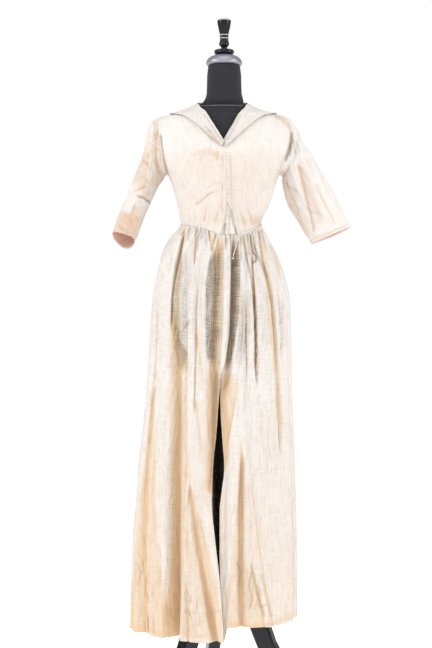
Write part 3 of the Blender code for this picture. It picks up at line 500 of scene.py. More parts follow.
def front_panel(across, level, side):
    """Angle and run on a bodice front: across from its edge to its side, level from waist to shoulder."""
    side_stop = side * SIDE

    def bottom(share):
        angle = front_edge(np.asarray(0.0), side)[0]
        angle = angle + (side_stop - angle) * share
        return angle, read(WAIST_SEAM, "height", angle)

    def top(share):
        tip_half = float(read(BODY, side_column(side), SHOULDER_RUN[side]))
        x = neck_half(side) + (tip_half - neck_half(side)) * share
        return side_stop + 0 * share, ridge_run(x, side)

    angle, run = blend_edges(
        across, level, bottom, top, lambda up: front_edge(up, side), lambda up: side_edge(up, side, False)
    )
    return np.clip(np.abs(angle), 0, SIDE - SIDE_SEAM) * np.sign(angle), run


def back_panel(across, level):
    """Angle and run on the bodice back: across from the +X side, by 180 degrees, to the -X side."""

    def bottom(share):
        angle = SIDE + 180 * share
        return angle, read(WAIST_SEAM, "height", np.where(angle > 180, angle - 360, angle))

    def top(share):
        shoulder = 0.28
        angle = np.interp(share, [0, shoulder, 1 - shoulder, 1], [SIDE, SIDE, 360 - SIDE, 360 - SIDE])
        tips = (SHOULDER_RUN[1], SHOULDER_RUN[-1])
        run = np.interp(share, [0, shoulder, 1 - shoulder, 1], [tips[0], NECK_RUN, NECK_RUN, tips[1]])
        return angle, run

    def start(up):
        return side_edge(up, 1, True)

    def end(up):
        angle, run = side_edge(up, -1, True)
        return angle + 360, run

    angle, run = blend_edges(across, level, bottom, top, start, end, BACK_POWER)
    return np.clip(angle, SIDE + SIDE_SEAM, 360 - SIDE - SIDE_SEAM), run


def fold_depth(angle, height):
    """How far the skirt's folds are let in, in metres."""
    u = np.clip((FOLD_TOP - height) / FOLD_RUN, 0, 1)
    places = {"waist": (1 - u) * (1 - 2 * u), "knee": 4 * u * (1 - u), "hem": u * (2 * u - 1)}
    total = np.zeros_like(angle)
    for fold in FOLDS:
        centre = sum(getattr(fold, place + "_angle") * part for place, part in places.items())
        depth = sum(getattr(fold, place + "_depth") * part for place, part in places.items())
        width = fold.waist_width + (fold.hem_width - fold.waist_width) * u
        away = np.abs((angle - centre + 180) % 360 - 180) / width
        bell = np.where(away < 1, np.cos(np.clip(away, 0, 1) * math.pi / 2) ** 2, 0)
        shown = ease((fold.top + FOLD_FADE - height) / FOLD_FADE)
        shown = shown * ease((height - fold.bottom + FOLD_FADE) / FOLD_FADE)
        total = total + 0.001 * depth * bell * shown
    return total


def gather_depth(angle, drop):
    """The gathers that hang from the waist seam, uneven in spacing and in length."""
    radians = np.radians(angle)
    phase = GATHERS * radians + 0.9 * np.sin(3 * radians + 1.0) + 0.7 * np.sin(7 * radians + 2.0)
    uneven = 0.75 + 0.25 * np.sin(5 * radians + 0.5)
    reach = GATHER_REACH * (0.7 + 0.3 * np.sin(4 * radians + 2.2))
    swell = 0.35 + 0.65 * ease(drop / 0.025)
    fade = 1 - ease((drop - 0.02) / reach)
    return GATHER_DEPTH * uneven * swell * fade * (1 - np.cos(phase)) / 2


def skirt(angle, share, tuck=0.0):
    """The skirt's inner face: share runs from the waist seam to the hem, and a tuck lets a free edge in."""
    angle, share = np.broadcast_arrays(np.asarray(angle, float), np.asarray(share, float))
    turned = (angle + 180) % 360 - 180
    waist, hem = read(WAIST_SEAM, "height", turned), read(HEM, "height", turned)
    height = waist - WAIST_GAP + (hem - waist + WAIST_GAP) * share
    drop = waist - height
    inward = fold_depth(turned, height) * ease(drop / FOLD_START) + gather_depth(turned, drop) + tuck
    x, y = skirt_outline(angle, drop, -inward)
    return np.stack([x, y, height], axis=-1)


def skirt_edge_angle(share, side):
    """The angle of a skirt front's free edge."""
    waist, hem = SKIRT_EDGE_TOP, SKIRT_EDGE_BOTTOM[side]
    height = waist + (hem - waist) * share
    x = read(SKIRT_EDGES, side_column(side), height)
    half = np.where(x < 0, read(SKIRT, "left", waist - height), read(SKIRT, "right", waist - height))
    return np.sign(x) * np.degrees(np.arcsin((np.abs(x) / half) ** (SKIRT_SQUARE / 2)))


def right_front(angle, share):
    """The right skirt front, whose free edge lies behind the left one's."""
    beyond = (angle - skirt_edge_angle(share, 1)) / TUCK_WIDTH
    return skirt(angle, share, TUCK * (1 - ease(beyond)) * ease(share / TUCK_START))


def sleeve(arm_angle, share, side):
    """A sleeve's outside: its rings grow out of the armhole. Arm angles are the armhole's own."""
    rings = LEFT_SLEEVE if side < 0 else RIGHT_SLEEVE
    column = {name: read(rings, name, share) for name in rings[0]._fields[1:]}
    outer = np.stack([column["outer_x"], column["y"], column["outer_z"]], axis=-1)
    under = np.stack([column["under_x"], column["y"], column["under_z"]], axis=-1)
    radians = np.radians(arm_angle)
    bow = side * column["bow"] * np.sin(radians) ** 2
    ahead = column["through"] * np.sin(radians)
    rise = column["lean"] * (ahead - 0.5 * column["through"] * np.sin(radians) ** 2)
    forward = np.stack([bow, -ahead, rise], axis=-1)
    ring = (outer + under) / 2 + (under - outer) / 2 * np.cos(radians)[..., None] + forward
    loop, inward, out = armhole_loop(arm_angle, side)
    loop = loop + ARMHOLE_GAP * (inward + 1.5 * out)
    travel = HEAD_TRAVEL[side] * np.asarray(share) * (0.3 + 0.35 * (1 - np.cos(radians)))
    loop = loop + np.stack([side * 0.92 * travel, 0 * travel, -0.33 * travel], axis=-1)
    grown = ease(share / SLEEVE_HEAD)[..., None]
    return loop * (1 - grown) + ring * grown


def armhole_loop(arm_angle, side):
    """Points on the armhole, and the directions into its middle and out from the body."""
    angle, run = armhole(arm_angle, side)
    loop, out = body(angle, run), body_normal(angle, run)
    inward = body(side * SIDE, (SHOULDER_RUN[side] + UNDERARM_RUN) / 2) - loop
    return loop, unit(inward - out * np.sum(inward * out, axis=-1, keepdims=True)), out


def neck_edge(share, side):
    """Angle and run along the collar's inner edge, from the V to the middle of the back."""
    split = 0.42
    up = UNDERARM_LEVEL + (1 - UNDERARM_LEVEL) * NECKLINE_ARM_ANGLE / 180
    level = up + (1 - up) * np.clip(share / split, 0, 1)
    angle, run = front_edge(level, side)
    behind = np.clip((share - split) / (1 - split), 0, 1)
    return np.where(share < split, side * angle, SIDE + 90 * behind), run


def collar(across, share):
    """The turned-down collar: share runs from its left tip round to its right tip, across from the neck."""
    turn = np.clip(1 - np.abs(2 * share - 1), 0, 1)
    left_inner, left_run = neck_edge(turn, -1)
    right_inner, right_run = neck_edge(turn, 1)
    is_left = share < 0.5
    inner = np.where(is_left, left_inner, right_inner)
    inner_run = np.where(is_left, left_run, right_run)
    outer, outer_run = read(COLLAR_OUTER, "angle", turn), read(COLLAR_OUTER, "run", turn)
    angle = inner + (outer - inner) * across
    run = inner_run + (outer_run - inner_run) * across
    signed = np.where(is_left, -angle, angle)
    lift = COLLAR_LIFT * (1 - 0.12 * (1 - across) ** 3)
    return body(signed, run) + body_normal(signed, run) * lift[..., None]


def tie_path(rows):
    """Points in front of the skirt, on a smooth curve through a tie's rows."""
    steps = np.linspace(0, len(rows) - 1, 11)
    angle, height, out = (read(rows, name, steps) for name in ("angle", "height", "out"))
    x, y = skirt_outline(angle, read(WAIST_SEAM, "height", angle) - height, out)
    return np.stack([x, y, height], axis=-1)


AXIS = np.array([AXIS_X, AXIS_Y, 0.0])
CAMERA_X = -0.019
CAMERA_AWAY = 3.6
CAMERA_HEIGHT = 1.003
VIEW_WIDE = 432  # the front view's size, in steps of 2.7 mm
VIEW_TALL = 648
VIEW_STEP = 0.0027
BACK_RADIUS = 0.2  # of the round that the back is unrolled from
FINE_WALL = 0.0010
SHARP = 0.7  # the half width of a stroke on its sharp side
SKIRT_LIFT = 0.0013


def image_place(points):
    """Where points, measured from the stand's axis, stand in the front view, in steps across and down."""
    scale = CAMERA_AWAY / (VIEW_STEP * (points[..., 1] + CAMERA_AWAY))
    across = VIEW_WIDE / 2 + (points[..., 0] - CAMERA_X) * scale
    return np.stack([across, VIEW_TALL / 2 - (points[..., 2] - CAMERA_HEIGHT) * scale], axis=-1)


def back_place(points):
    """Where points lie on the back unrolled round the axis, in the front view's steps."""
    around = np.arctan2(points[..., 0], points[..., 1]) * BACK_RADIUS
    down = VIEW_TALL / 2 - (points[..., 2] - CAMERA_HEIGHT) / VIEW_STEP
    return np.stack([around / VIEW_STEP, down], axis=-1)


def fine_normal(outside, normal, tube=False):
    around = np.gradient(outside, axis=1)
    if tube:
        around = np.roll(outside, -1, axis=1) - np.roll(outside, 1, axis=1)
    own = unit(np.cross(around, np.gradient(outside, axis=0)))
    return own * np.sign(np.sum(own * normal, axis=-1, keepdims=True))


def box_blur(grid, reach, axis, wrap):
    """A running mean over 2 * reach + 1 places of one axis."""
    if reach < 1:
        return grid
    widths = [(0, 0)] * grid.ndim
    widths[axis] = (reach + 1, reach)
    sums = np.cumsum(np.pad(grid, widths, mode="wrap" if wrap else "edge"), axis=axis)
    low = np.arange(grid.shape[axis])
    span = 2 * reach + 1
    return (np.take(sums, low + span, axis=axis) - np.take(sums, low, axis=axis)) / span


def cavity(outside, normal, reach, deepest, tube=False):
    """0 on open cloth and 1 deep in a fold, from the shape smoothed over reach = (rows, columns)."""
    smooth = outside
    for _ in range(3):
        smooth = box_blur(smooth, reach[0], 0, False)
        smooth = box_blur(smooth, reach[1], 1, tube)
    return ease(np.sum((smooth - outside) * normal, axis=-1) / deepest)


def lattice(across, along, pitch, seed):
    """Smooth noise from -1 to 1 over the cloth, with its own pitch each way."""
    count = 97
    values = np.random.default_rng(seed).uniform(-1, 1, (count, count))
    u, v = np.broadcast_arrays(across / pitch[0], along / pitch[1])
    column, row = np.floor(u).astype(int), np.floor(v).astype(int)
    du, dv = ease(u - column), ease(v - row)

    def level(down):
        left, right = (values[(row + down) % count, (column + ahead) % count] for ahead in (0, 1))
        return left * (1 - du) + right * du

    return level(0) * (1 - dv) + level(1) * dv


# A stroke over the cloth: its height in mm (below 0 for a groove) or its strength, its half width, and the
# points of its line. A third number is the side it spreads to, while it is sharp on the other: 1 for the
# viewer's right of a line that runs down. Widths and points are in steps of 2.7 mm, across and down the view.
# A band is a strip that is darker all over: how much tan it has, mostly painted shade in the skirt's valleys,
# and how much of the form shows through it, then the level, left edge and right edge at each of its points.
Stroke = namedtuple("Stroke", "points height width side", defaults=[0])
Band = namedtuple("Band", "points warm sheer")


def by_node(kind, text):
    """Each node's rows, under its name: numbers, then points. A line of only points adds to the last row."""
    rows = {}
    for words in map(str.split, text.strip().splitlines()):
        points = [[float(part) for part in word.split(",")] for word in words if "," in word]
        if words[0].isidentifier():
            rows[words[0]] = node_rows = []
        elif "," in words[0]:
            node_rows[-1].points.extend(points)
        else:
            node_rows.append(kind(points, *map(float, words[: len(words) - len(points)])))
    return rows


CREASES = by_node(Stroke, """
bodice_front_left
2.2 3 179,158 188,151 198,147.5 212,145.5 224,146
-2.2 4.5 186,162 196,156 208,154 222,155
-1.8 1.1 194,206 200,202 207,195.5 215,191
1.4 1.1 192,203 199,199 206,192.5 213,188.5
-1.1 1 206,189 213,184.5 221,181
-1 1 208,169 216,166 225,165.5
-0.9 0.9 213,175 219,173 225,173
-0.9 0.9 212,160 218,159 225,160
-1.2 1.2 215,224 217,214 221,203
-1 1.1 204,223 205,214 209,204
0.9 1.3 199,222 198,213 201,205
-0.9 1.1 190,221 189,212 191,203
1 1.4 196,180 204,186 209,192
-0.8 1.1 184,190 187,181 192,174
-0.8 1.1 178,196 181,186 184,178
bodice_front_right
-1.1 1.2 246,229 243,219 239,209
-1 1.1 253,227 251,217 247,207
0.9 1.2 249,227 247,217 243,207
-0.8 1 230,163 238,162 246,165
-0.8 1 231,179 239,177 247,179
-0.8 1 231,193 237,190 244,190
-1.1 1.6 263,182 265,170 269,158
0.8 1.6 258,184 261,170 264,158
collar
-1.2 0.8 209,131 213,136 216,141
-1.1 0.8 212,130 216,135 219,141
-1.1 0.7 215,138 218,142 221,146
1 0.9 206,127 211,132 214,139
-0.8 0.9 240,128 236,133 231,138
0.7 1.1 250,118 244,124 238,131
sleeve_left
-3.4 1.3 137,196 141,197 144,198 147,201 151,202
3 1.5 131,205.5 135,201 140,199.7 144,201 148,204 152,206
-2.2 1.2 134,190 140,189 147,186
1.6 1.5 134,194 141,193 149,192
-2.6 7 1 136,202 132.5,210 130,218 127.5,237
1.6 2.4 133,206 129,217 125,236
-2.4 1.4 157,130 156,145 157,162 160,176
1.8 1.6 152,133 150,148 150,165 152,180
-2 1.3 149,150 147,163 145,178
-2.2 0.9 141,160 147,163 152,172
1.5 1 141,163 148,167.5 155,175
-2 0.9 139,176 145,177 150,183
-2 0.9 147,142 152,144 158,151
1.4 1 143,146 150,151 157,159
-2.2 0.9 118,226 124,230 130,236
-2.1 0.9 123,214 129,218 134,225
1.4 1 120,220 126,224 132,230
-1.6 1.3 144,170 141,180 138,188
-1.4 1 154,121 154,128 155,137
-1.4 1 158,120 158,127 158,134
1.4 1.1 156,120 156,128 156.5,136
sleeve_right
3 3.2 291,158 292,170 296,186 302,203
-3.6 2 296,158 300,172 303,185 307,201 312,222 315,238
2.2 2.2 303,160 309,176 316,196 326,222
-2 1.3 299,164 304,174 310,183 318,194
-2.2 1.8 313,180 321,196 330,213 337,228
-2.1 1 284,181 289,187 296,191 301,198
-1.9 0.9 304,206 311,212 321,215
-1.9 0.8 309,239.5 330,232.5 350,223
1.5 0.9 309,242 330,235 351,225.4
1.6 1.8 319,178 328,194 336,210
-2 1.3 284,178 288,190 294,203 300,214
-2 0.9 289,141 290.5,148 291,157
-2 0.9 292.5,139 294.5,147 296,157
1.6 1 290.5,140 292.5,148 293.5,157
-1.6 0.9 290,131 295,138 299,148
1.4 1 290,127 296,134 301,144
skirt_front_left
-6 1 185,228 183.3,238 181,250 177.6,266 174.5,283 172.5,298 171.5,330
3 1.5 182,229 180,238 177.5,250 174,266 171,283 169,298
2.6 1.7 188,229 187,238 185,250 183,266
-3 7 -1 188,290 188,330 187,380 187,430 187,480 184,540 181,632
-3.6 0.8 196.5,227 195.6,243 194.3,266
-2.6 0.7 199,228 198,240 197,252
1.8 1 192.5,228 191.5,243 190,262
-3.2 0.9 208,227 210.3,238 212,252
-3.2 0.9 217,231 213.6,242 212,252
2 1.1 204,228 205,240 205,256
2 1 213,229 212.4,236 212,243
-3.4 6 1 221.5,228 218,242 215,253 212,264 206.7,282 205.5,320 207,400 208.5,450
2.6 1.6 226.6,240 227,270 226,300 224.6,330 222.6,360
-1.6 1 187,252 187.6,268 188.5,290
2.4 1 190,316.5 185,323 179,330
-2.6 1.1 191,319.5 186,326 180,333
-2.6 2 196,330 198.5,352 202,372 204,395
2 1.8 191,330 192,360 193,400 193,440
-2.2 1.4 196,400 198,425 202,455
-2.4 1.5 156,384 153,400 151,424 149,448
-2.2 2 152,430 149,455 147,480 144,520
2 2 158,440 155,470 152,510
-1.8 0.8 150,372 156,376 160,383
-1.5 0.8 149,380 154,386 157,393
-2 0.9 173.5,494 171,499 169,505
1.6 1 176,494 174,500 171,506
3.6 1.5 191,470 191,482 194,497 199,520 204,548
-3.4 5 -1 192,480 197.5,505 202.5,530 206.5,556 212,592 217,630
-3.4 3 1 190,483 187.5,505 186.5,540 186,570
-2.4 1 188,572 186.8,590 188,612 189.5,637
2 1.2 192,572 191,592 193,615
-2 1.2 157,540 162,560 160,585
1.6 1.4 163,520 166,545 165,575
-2.2 0.8 145,618 145.5,626 146,634
-2.2 0.8 149,616 149.5,625 150,634
-2.2 0.8 154,618 154,626 155,634
1.8 0.9 147.2,618 147.5,626 148,634
1.8 0.9 151.7,617 151.8,626 152.5,634
-1.4 1 170,600 171,615 170,632
-2.5 0.9 186,590 191,598 188,610 193,622
-2.4 0.9 199,596 196,606 200,616 198,628
-2.2 0.9 183,610 189,614 196,612
-2.2 0.9 136,560 142,572 139,586
-2.2 0.9 148,575 146,590 151,604
skirt_front_right
-5 0.9 251.6,248 252.6,268 253.6,290 255,320 255.3,345 254.6,372
2.8 1.4 248.7,258 249.5,280 250.7,310 251.5,340
2.4 1.6 257,262 258,290 259.5,320 259.5,350
-3.2 0.8 243,234 244.5,244 247,256
-2.6 0.7 240,235 240.6,246 241.5,262
2 0.9 241.6,234 242.6,246 244,262
-3.6 0.9 258.2,229 260,244 263,263 267,280
2.4 1.2 255.4,230 256.4,244 258,260
2.4 1.4 261.5,229 264,243 267.5,258
-3 2 269,242 273,252 277,264 280,278
-2.6 4 1 263,262 268,292 272,330 276,368 279,405 280,435
-2.2 0.8 281.6,322 281.8,335 281.2,350
1.4 1 279,322 279.4,335 279,348
-2 0.8 243.6,314 242.6,330 241.2,350
-2 0.8 246,322 245,340 243.6,358
-1.6 0.8 240.4,324 239.4,340 238,352
1.5 0.9 242,318 241,336 239.5,352
-3.6 5 -1 241.7,380 234,408 228,440 225,468
-1.8 0.9 245,388 244,400 243,414
-1.6 0.9 248,384 247,397 246,408
-1.3 3 243,430 240.6,480 238,510 234.4,538 232.5,590
2.2 1.6 247,462 246,490 247,520 249,550
-2 1 253,530 255,545 254,562
2.6 1.7 245,556 249,575 254,595 261,618
-2.6 1.4 250,560 254,580 259,600 266,620
-2 1.3 257,560 262,578 267,598 271,620
-1.8 0.9 246,600 250,606 257,610
1.5 0.9 245,604 250,610 256,614
-1.8 0.9 243,592 247,598 252,601
-2.8 1 252,570 249,584 252,598 249,612
-2.5 0.9 236,560 241,572 238,588
-2.4 0.9 262,574 258,586 262,597
-2.4 0.8 254,604 261,607 268,604
1.5 0.9 240,578 245,584 243,592
-1.8 1.4 231,575 228,592 227,612
-1.5 1 270,560 272,580 270,600
-1.2 2.6 276,380 277,405 277,432 275,455
""")

# These face the back. A sleeve's are placed in the front view, and the rest on the back unrolled.
BEHIND = by_node(Stroke, """
bodice_back
-1.6 1.3 -52,168 -40,176 -26,190
1.3 1.6 -50,163 -37,171 -22,186
-1.5 1.2 50,165 39,175 27,192
1.2 1.5 48,160 36,170 24,188
-1.3 1.1 -8,228 -9,214 -12,200
-1.3 1.1 6,228 8,212 9,196
-1.1 1 22,227 24,215 26,204
-1.1 1 -27,227 -28,216 -30,205
1 2.6 -20,150 0,154 21,149
-0.9 1.4 -16,160 0,164 15,160
skirt_back_left
-4.5 1.2 -14,232 -15,262 -18,300 -20,352
3 1.8 -19,232 -21,270 -25,330
-4 1.1 -31,232 -34,258 -39,292 -44,330
-3.4 1 -52,234 -57,258 -62,290
-3.8 1.4 -74,240 -80,285 -84,345 -86,410
2.6 2 -66,250 -71,300 -74,370
-4 3.4 1 -30,400 -33,470 -37,550 -40,630
-3.4 3 -1 -62,430 -66,500 -70,580 -72,630
-2.2 1.2 -50,470 -46,492 -44,520
1.8 1.4 -18,560 -22,585 -20,618
skirt_back_right
-4.6 1.2 11,232 13,268 15,312 14,370
2.8 1.7 17,232 20,270 23,322
-3.8 1 27,232 31,262 35,300
-4.2 1.2 45,233 51,266 56,310 59,366
-3.2 1.1 68,238 75,272 80,316
2.4 2 60,250 66,300 69,372
-4.2 3.6 -1 26,390 29,460 33,540 36,630
-3.6 3 1 58,420 62,500 67,580 70,630
-2 1.2 44,500 40,520 38,548
1.8 1.3 14,540 17,570 13,610
sleeve_left
-3 1.5 146,196 140,198 134,203
2.4 1.7 148,201 141,204 134,208
-2 1.4 155,140 149,160 143,182
1.8 1.6 158,150 153,170 148,188
-1.6 1.4 138,214 130,224 124,236
-1.5 1 157,122 156,131 156,140
sleeve_right
-2.8 1.6 293,162 299,182 308,204
2.4 1.8 299,162 306,184 316,206
-2.2 1.4 312,188 322,204 333,224
-2 1.3 288,176 297,196 306,220
-1.5 1 291,128 294,138 299,148
""")

# Painted tan shade on the cloth that faces the back, placed as BEHIND is.
TAN_AND_SHADE_STROKES_BEHIND = by_node(Stroke, """
bodice_back
0.3 14 -30,165 0,172 30,165
0.25 8 -30,215 0,222 30,215
skirt_back_left
0.6 9 1 -38,360 -42,440 -46,540 -50,640
0.5 8 -1 -74,300 -80,400 -84,520 -86,640
0.3 8 -16,540 -18,590 -18,640
skirt_back_right
0.6 9 -1 22,330 26,430 30,540 33,640
0.55 9 1 60,340 66,440 72,540 76,640
0.25 7 46,520 48,580 50,640
sleeve_left
0.45 6 150,150 144,185 132,212 124,240
sleeve_right
0.45 6 290,160 300,190 314,222 326,240
""")

# Where the front is tinted tan, mostly as painted shade in folds, on shaded sides and along seams, and darker
# at the doubled hem; where painted shadows darken it along edges, seams, ties and gaps; and where the dark
# form shows through it.
TAN_AND_SHADE_STROKES = by_node(Stroke, """
bodice_front_left
0.2 9 196,158 208,157 220,160
0.3 2 189,157 196,153 206,150.5 216,150
0.22 4 221,150 222,180 221,216
0.18 7 200,212 212,216 221,224
bodice_front_right
0.24 4 230,150 231,180 233,216
0.12 9 243,160 246,185 247,212
0.9 1.8 273,116 281,119 288,125 292,132
0.3 3 284,154 281,168 279,182
collar
0.55 1.2 204,125 211,133 217,141 222,148
0.35 2.4 206,130 213,137 219,144
sleeve_left
0.75 9 1 135,203 131.5,212 129,222 127,240
1 13 131,212 127,222 120,242
0.45 1.6 112,236 118,238 126,240
0.35 6 141,150 138,168 137,184
0.6 5 159,128 158,148 160,170 156,190
0.3 12 152,128 148,160 144,192
0.5 4 137,188 143,190 150,196
0.32 6 149,145 145,168 141,190
0.4 3 156,116 155,126 156,136
sleeve_right
0.5 4 283,165 286,185 293,205 305,228 312,240
0.1 14 292,160 303,190 318,228
0.42 3 299,164 306,182 313,200 322,224
0.12 8 305,190 318,210 330,226
0.75 2 283,116 289,125 292,138 290,150
0.4 1.6 308,243 330,236 352,226
skirt_front_left
0.55 1.3 185,224 183,240 178,266 173,296 172,330 178,362
0.35 3 197,320 200,358 203,395
0.3 2.6 128,624 150,630 165,633 182,628
0.4 2.6 180,634 200,637 222,640
0.22 6 198,395 200,430 202,465
0.35 1.2 196.5,224 195.6,243 194.3,262
0.45 1.4 208,224 211,238 212,252
0.45 1.4 217,228 213,240 212,252
0.3 1.6 160,410 156,450 153,500
0.3 1.6 146,470 144,520 142,570
skirt_front_right
0.8 1.4 251.6,246 253.6,290 255,320 255.3,350 254.6,374
0.45 2.2 222,622 250,626 275,623 298,612
0.45 1.2 258,226 260,244 264,268
0.4 1.2 243,230 245,244 247,258
0.35 3 270,240 275,254 280,274
0.22 2 242.5,436 240,480 237,530
0.3 1.6 249,480 250,520 252,560
0.28 1.6 268,420 267,450 266,480
0.28 1.6 276,392 275,420 274,455
""")

SHADOW_STROKES = by_node(Stroke, """
collar
0.5 0.7 172,118.5 180,115.8 186,117.8
0.35 0.6 203,112 213,128 223,142
0.35 0.6 242,113 234,128 226,142
bodice_front_left
0.32 0.7 226.3,149 227.2,165 226,180 227,194 226,206 224.6,219 221,234
0.28 0.5 222.6,151 222.4,180 222.2,216
0.25 0.6 183,223 196,228 208,231 219,234
0.75 1 160.5,133 162,146 164,160 168,175
bodice_front_right
0.8 1.3 291.5,130 291,140 288.4,151 285,160
0.28 0.5 230.6,152 231,180 231.4,206
0.45 0.7 231.5,208 233.5,222 237,233
0.25 0.6 240,233 251,229 261,224
inner_tab
0.6 1.4 225.5,222 224.5,230 223,240
0.55 1 234.6,222 235.6,230 236.4,240
0.4 0.7 229,212 229.5,224 228.5,240
skirt_front_left
0.3 1.6 227,237 226,243 226,250
0.3 0.8 206,226 205.4,236 205,246
0.3 0.8 190,226 189,234 188.4,242
0.3 0.8 202,226 201.6,233 201,240
skirt_front_right
0.85 1 250.2,233 250.8,242 252.6,252 256.2,257 255.2,262 251,262.4
0.85 1 238.2,240 236.6,250 234.4,257 237.6,261 236,265 231,265
0.3 0.8 247,232 248.4,242 250,256
0.25 0.9 261,228 263,240 266.5,252
0.3 1.1 253,236 254.5,246 257,262
sleeve_left
0.55 1 160,132 161,146 163.5,160 167.5,176
0.3 0.8 155,121 154.6,131 155,140
0.3 0.8 158.4,120 158,130 158.4,138
sleeve_right
0.75 1.4 292,131 291.5,141 289,152 285,162
0.35 0.8 288.8,137 289.8,147 290.6,156
0.35 0.8 292.4,137 294,146 296,155
0.3 0.8 296,140 298,147 300,154
""")

SHOWN_THROUGH = by_node(Stroke, """
skirt_front_left
0.3 3 219,255 218,310 217,366
0.12 9 158,285 158,365
0.1 9 197,250 197,360
skirt_front_right
0.3 1.4 243,292 242.4,330 240.6,366
0.28 1.2 247,300 246,335 244,362
0.25 2 282,290 282,360
0.12 8 262,280 264,355
""")

BANDS = by_node(Band, """
skirt_front_left
0.2 0.8 244,214,216 262,209,216 282,206,215.6 320,205.5,215 345,206,214.6 368,208,215
0.66 0.3 236,219,224 262,216,224 320,215,223.6 365,214.6,220.6 400,212,219 440,211,215.4 468,210,213.2
500,209.6,210.2
0 0.36 248,181,187 270,177,187.6 300,174,187.8 330,175,188 350,180,188 364,184,188
0.6 0.5 296,171.6,173.4 320,172.4,176 340,173.6,180 352,175.6,187 366,178,188 376,182,188
0.46 0 310,169,173 340,169,176 362,169.6,186 400,168.6,186.8 440,169.6,187.6 480,170,186.4 520,172.6,184.8
560,172,183.4 600,166,181.6 642,160,180.6
0.26 0 482,190,191.4 500,187.6,195 520,185.6,200.4 552,183.4,209.4 582,182.4,216 610,181.4,219.6
644,180.4,224
0.24 0 496,190,194 520,194,200.2 552,202,209.2 582,208,215.8 610,210,219.4 644,213,223.6
0.48 0 384,153,156 420,149,155 450,146,156 500,140,156 550,136,158 600,130,166 644,128,170
skirt_front_right
0.24 0.9 236,231,236.4 262,231,240 290,230.2,240 320,229.6,238.4 345,227,235 362,224.4,230.4 374,223,226
0.1 0.22 286,240,250 330,238,250 372,234,248
0.56 0 372,228,240 384,222,238 400,219.6,236 420,219.6,232.6 440,220,229.4 460,221,227.6 478,223,226
0.48 0 234,259,263 262,262,268 290,265,273 330,268,277 370,273,280 405,277,282.4 436,279,283
0.3 0 498,238,241 520,236,242 550,232,244 580,229,252 610,225,262 644,224,270
""")


def turned_to(normal, facing):
    """1 where the surface faces front (-1) or back (1), and 0 where it faces the other way."""
    return ease((facing * normal[..., 1] + 0.2) / 0.4)


def band_sum(bands, points, normal, column):
    """The sum of the bands on the surface that faces front, with soft edges and ends."""
    edge, end = 1.6, 14
    across, down = np.moveaxis(image_place(points), -1, 0)
    total = np.zeros(points.shape[:-1])
    for band in bands:
        level, left, right = np.array(band.points).T
        inside = ease((across - np.interp(down, level, left)) / edge + 0.5)
        inside = inside * ease((np.interp(down, level, right) - across) / edge + 0.5)
        ends = ease((down - level[0]) / end) * ease((level[-1] - down) / end)
        total = total + getattr(band, column) * inside * ends
    return total * turned_to(normal, -1)


def stroke_sum(strokes, points, normal, run_out, place_of=image_place, facing=-1):
    """The sum of strokes, each strongest on its line and faded at its ends, where the cloth faces one way."""
    total = np.zeros(points.shape[:-1])
    seen = place_of(points)
    for stroke in strokes:
        line = np.array(stroke.points)
        lengths = np.linalg.norm(np.diff(line, axis=0), axis=1)
        starts = np.concatenate([[0], np.cumsum(lengths)])
        best = np.full(total.shape, 1e9)
        along, across = np.zeros(total.shape), np.zeros(total.shape)
        for index, step in enumerate(np.diff(line, axis=0)):
            share = np.clip(((seen - line[index]) @ step) / (step @ step), 0, 1)
            offset = seen - line[index] - share[..., None] * step
            away = np.linalg.norm(offset, axis=-1)
            closer = away < best
            across = np.where(closer, step[1] * offset[..., 0] - step[0] * offset[..., 1], across)
            best = np.where(closer, away, best)
            along = np.where(closer, (starts[index] + share * lengths[index]) / starts[-1], along)
        fade = ease(along / run_out) * ease((1 - along) / run_out)
        width = np.where(across * stroke.side < 0, SHARP, stroke.width)
        total = total + stroke.height * np.exp(-((best / width) ** 2)) * fade
    return total * turned_to(normal, facing)


def add(name, data):
    """A new object in the scene."""
    made = bpy.data.objects.new(name, data)
    bpy.context.scene.collection.objects.link(made)
    return made


def put(name, mesh, finish, slot_name, *nodes):
    """A piece of the object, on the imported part's one body, in place of its CAD nodes."""
    made = add(name, mesh)
    mesh.materials.append(finish)
    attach(made, "root")
    if nodes:
        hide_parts(*nodes)
    return made


def quad_mesh(name, points, quads, corners_uv=None, shares=None):
    """A smooth mesh of quads, with the cloth's own measures as its UVs and a value a point for each share."""
    mesh = bpy.data.meshes.new(name)
    mesh.vertices.add(len(points))
    mesh.vertices.foreach_set("co", points.astype(np.float32).ravel())
    mesh.loops.add(quads.size)
    mesh.loops.foreach_set("vertex_index", quads.astype(np.int32).ravel())
    mesh.polygons.add(len(quads))
    mesh.polygons.foreach_set("loop_start", np.arange(0, quads.size, 4, dtype=np.int32))
    if corners_uv is not None:
        layer = mesh.uv_layers.new(name="cloth")
        layer.data.foreach_set("uv", corners_uv.astype(np.float32).ravel())
    for key, values in (shares or {}).items():
        attribute = mesh.attributes.new(key, "FLOAT", "POINT")
        attribute.data.foreach_set("value", values.astype(np.float32).ravel())
    mesh.update(calc_edges=True)
    mesh.polygons.foreach_set("use_smooth", np.ones(len(quads), bool))
    return mesh


def corners_of(grid):
    """The four corners of each cell of a grid, in turn."""
    return [grid[:-1, :-1], grid[:-1, 1:], grid[1:, 1:], grid[1:, :-1]]


def rims_of(grid, tube):
    """The start and end of each stretch of a grid's open edges."""
    rims = [(grid[0, :-1], grid[0, 1:]), (grid[-1, 1:], grid[-1, :-1])]
    if not tube:
        rims += [(grid[1:, 0], grid[:-1, 0]), (grid[:-1, -1], grid[1:, -1])]
    return rims


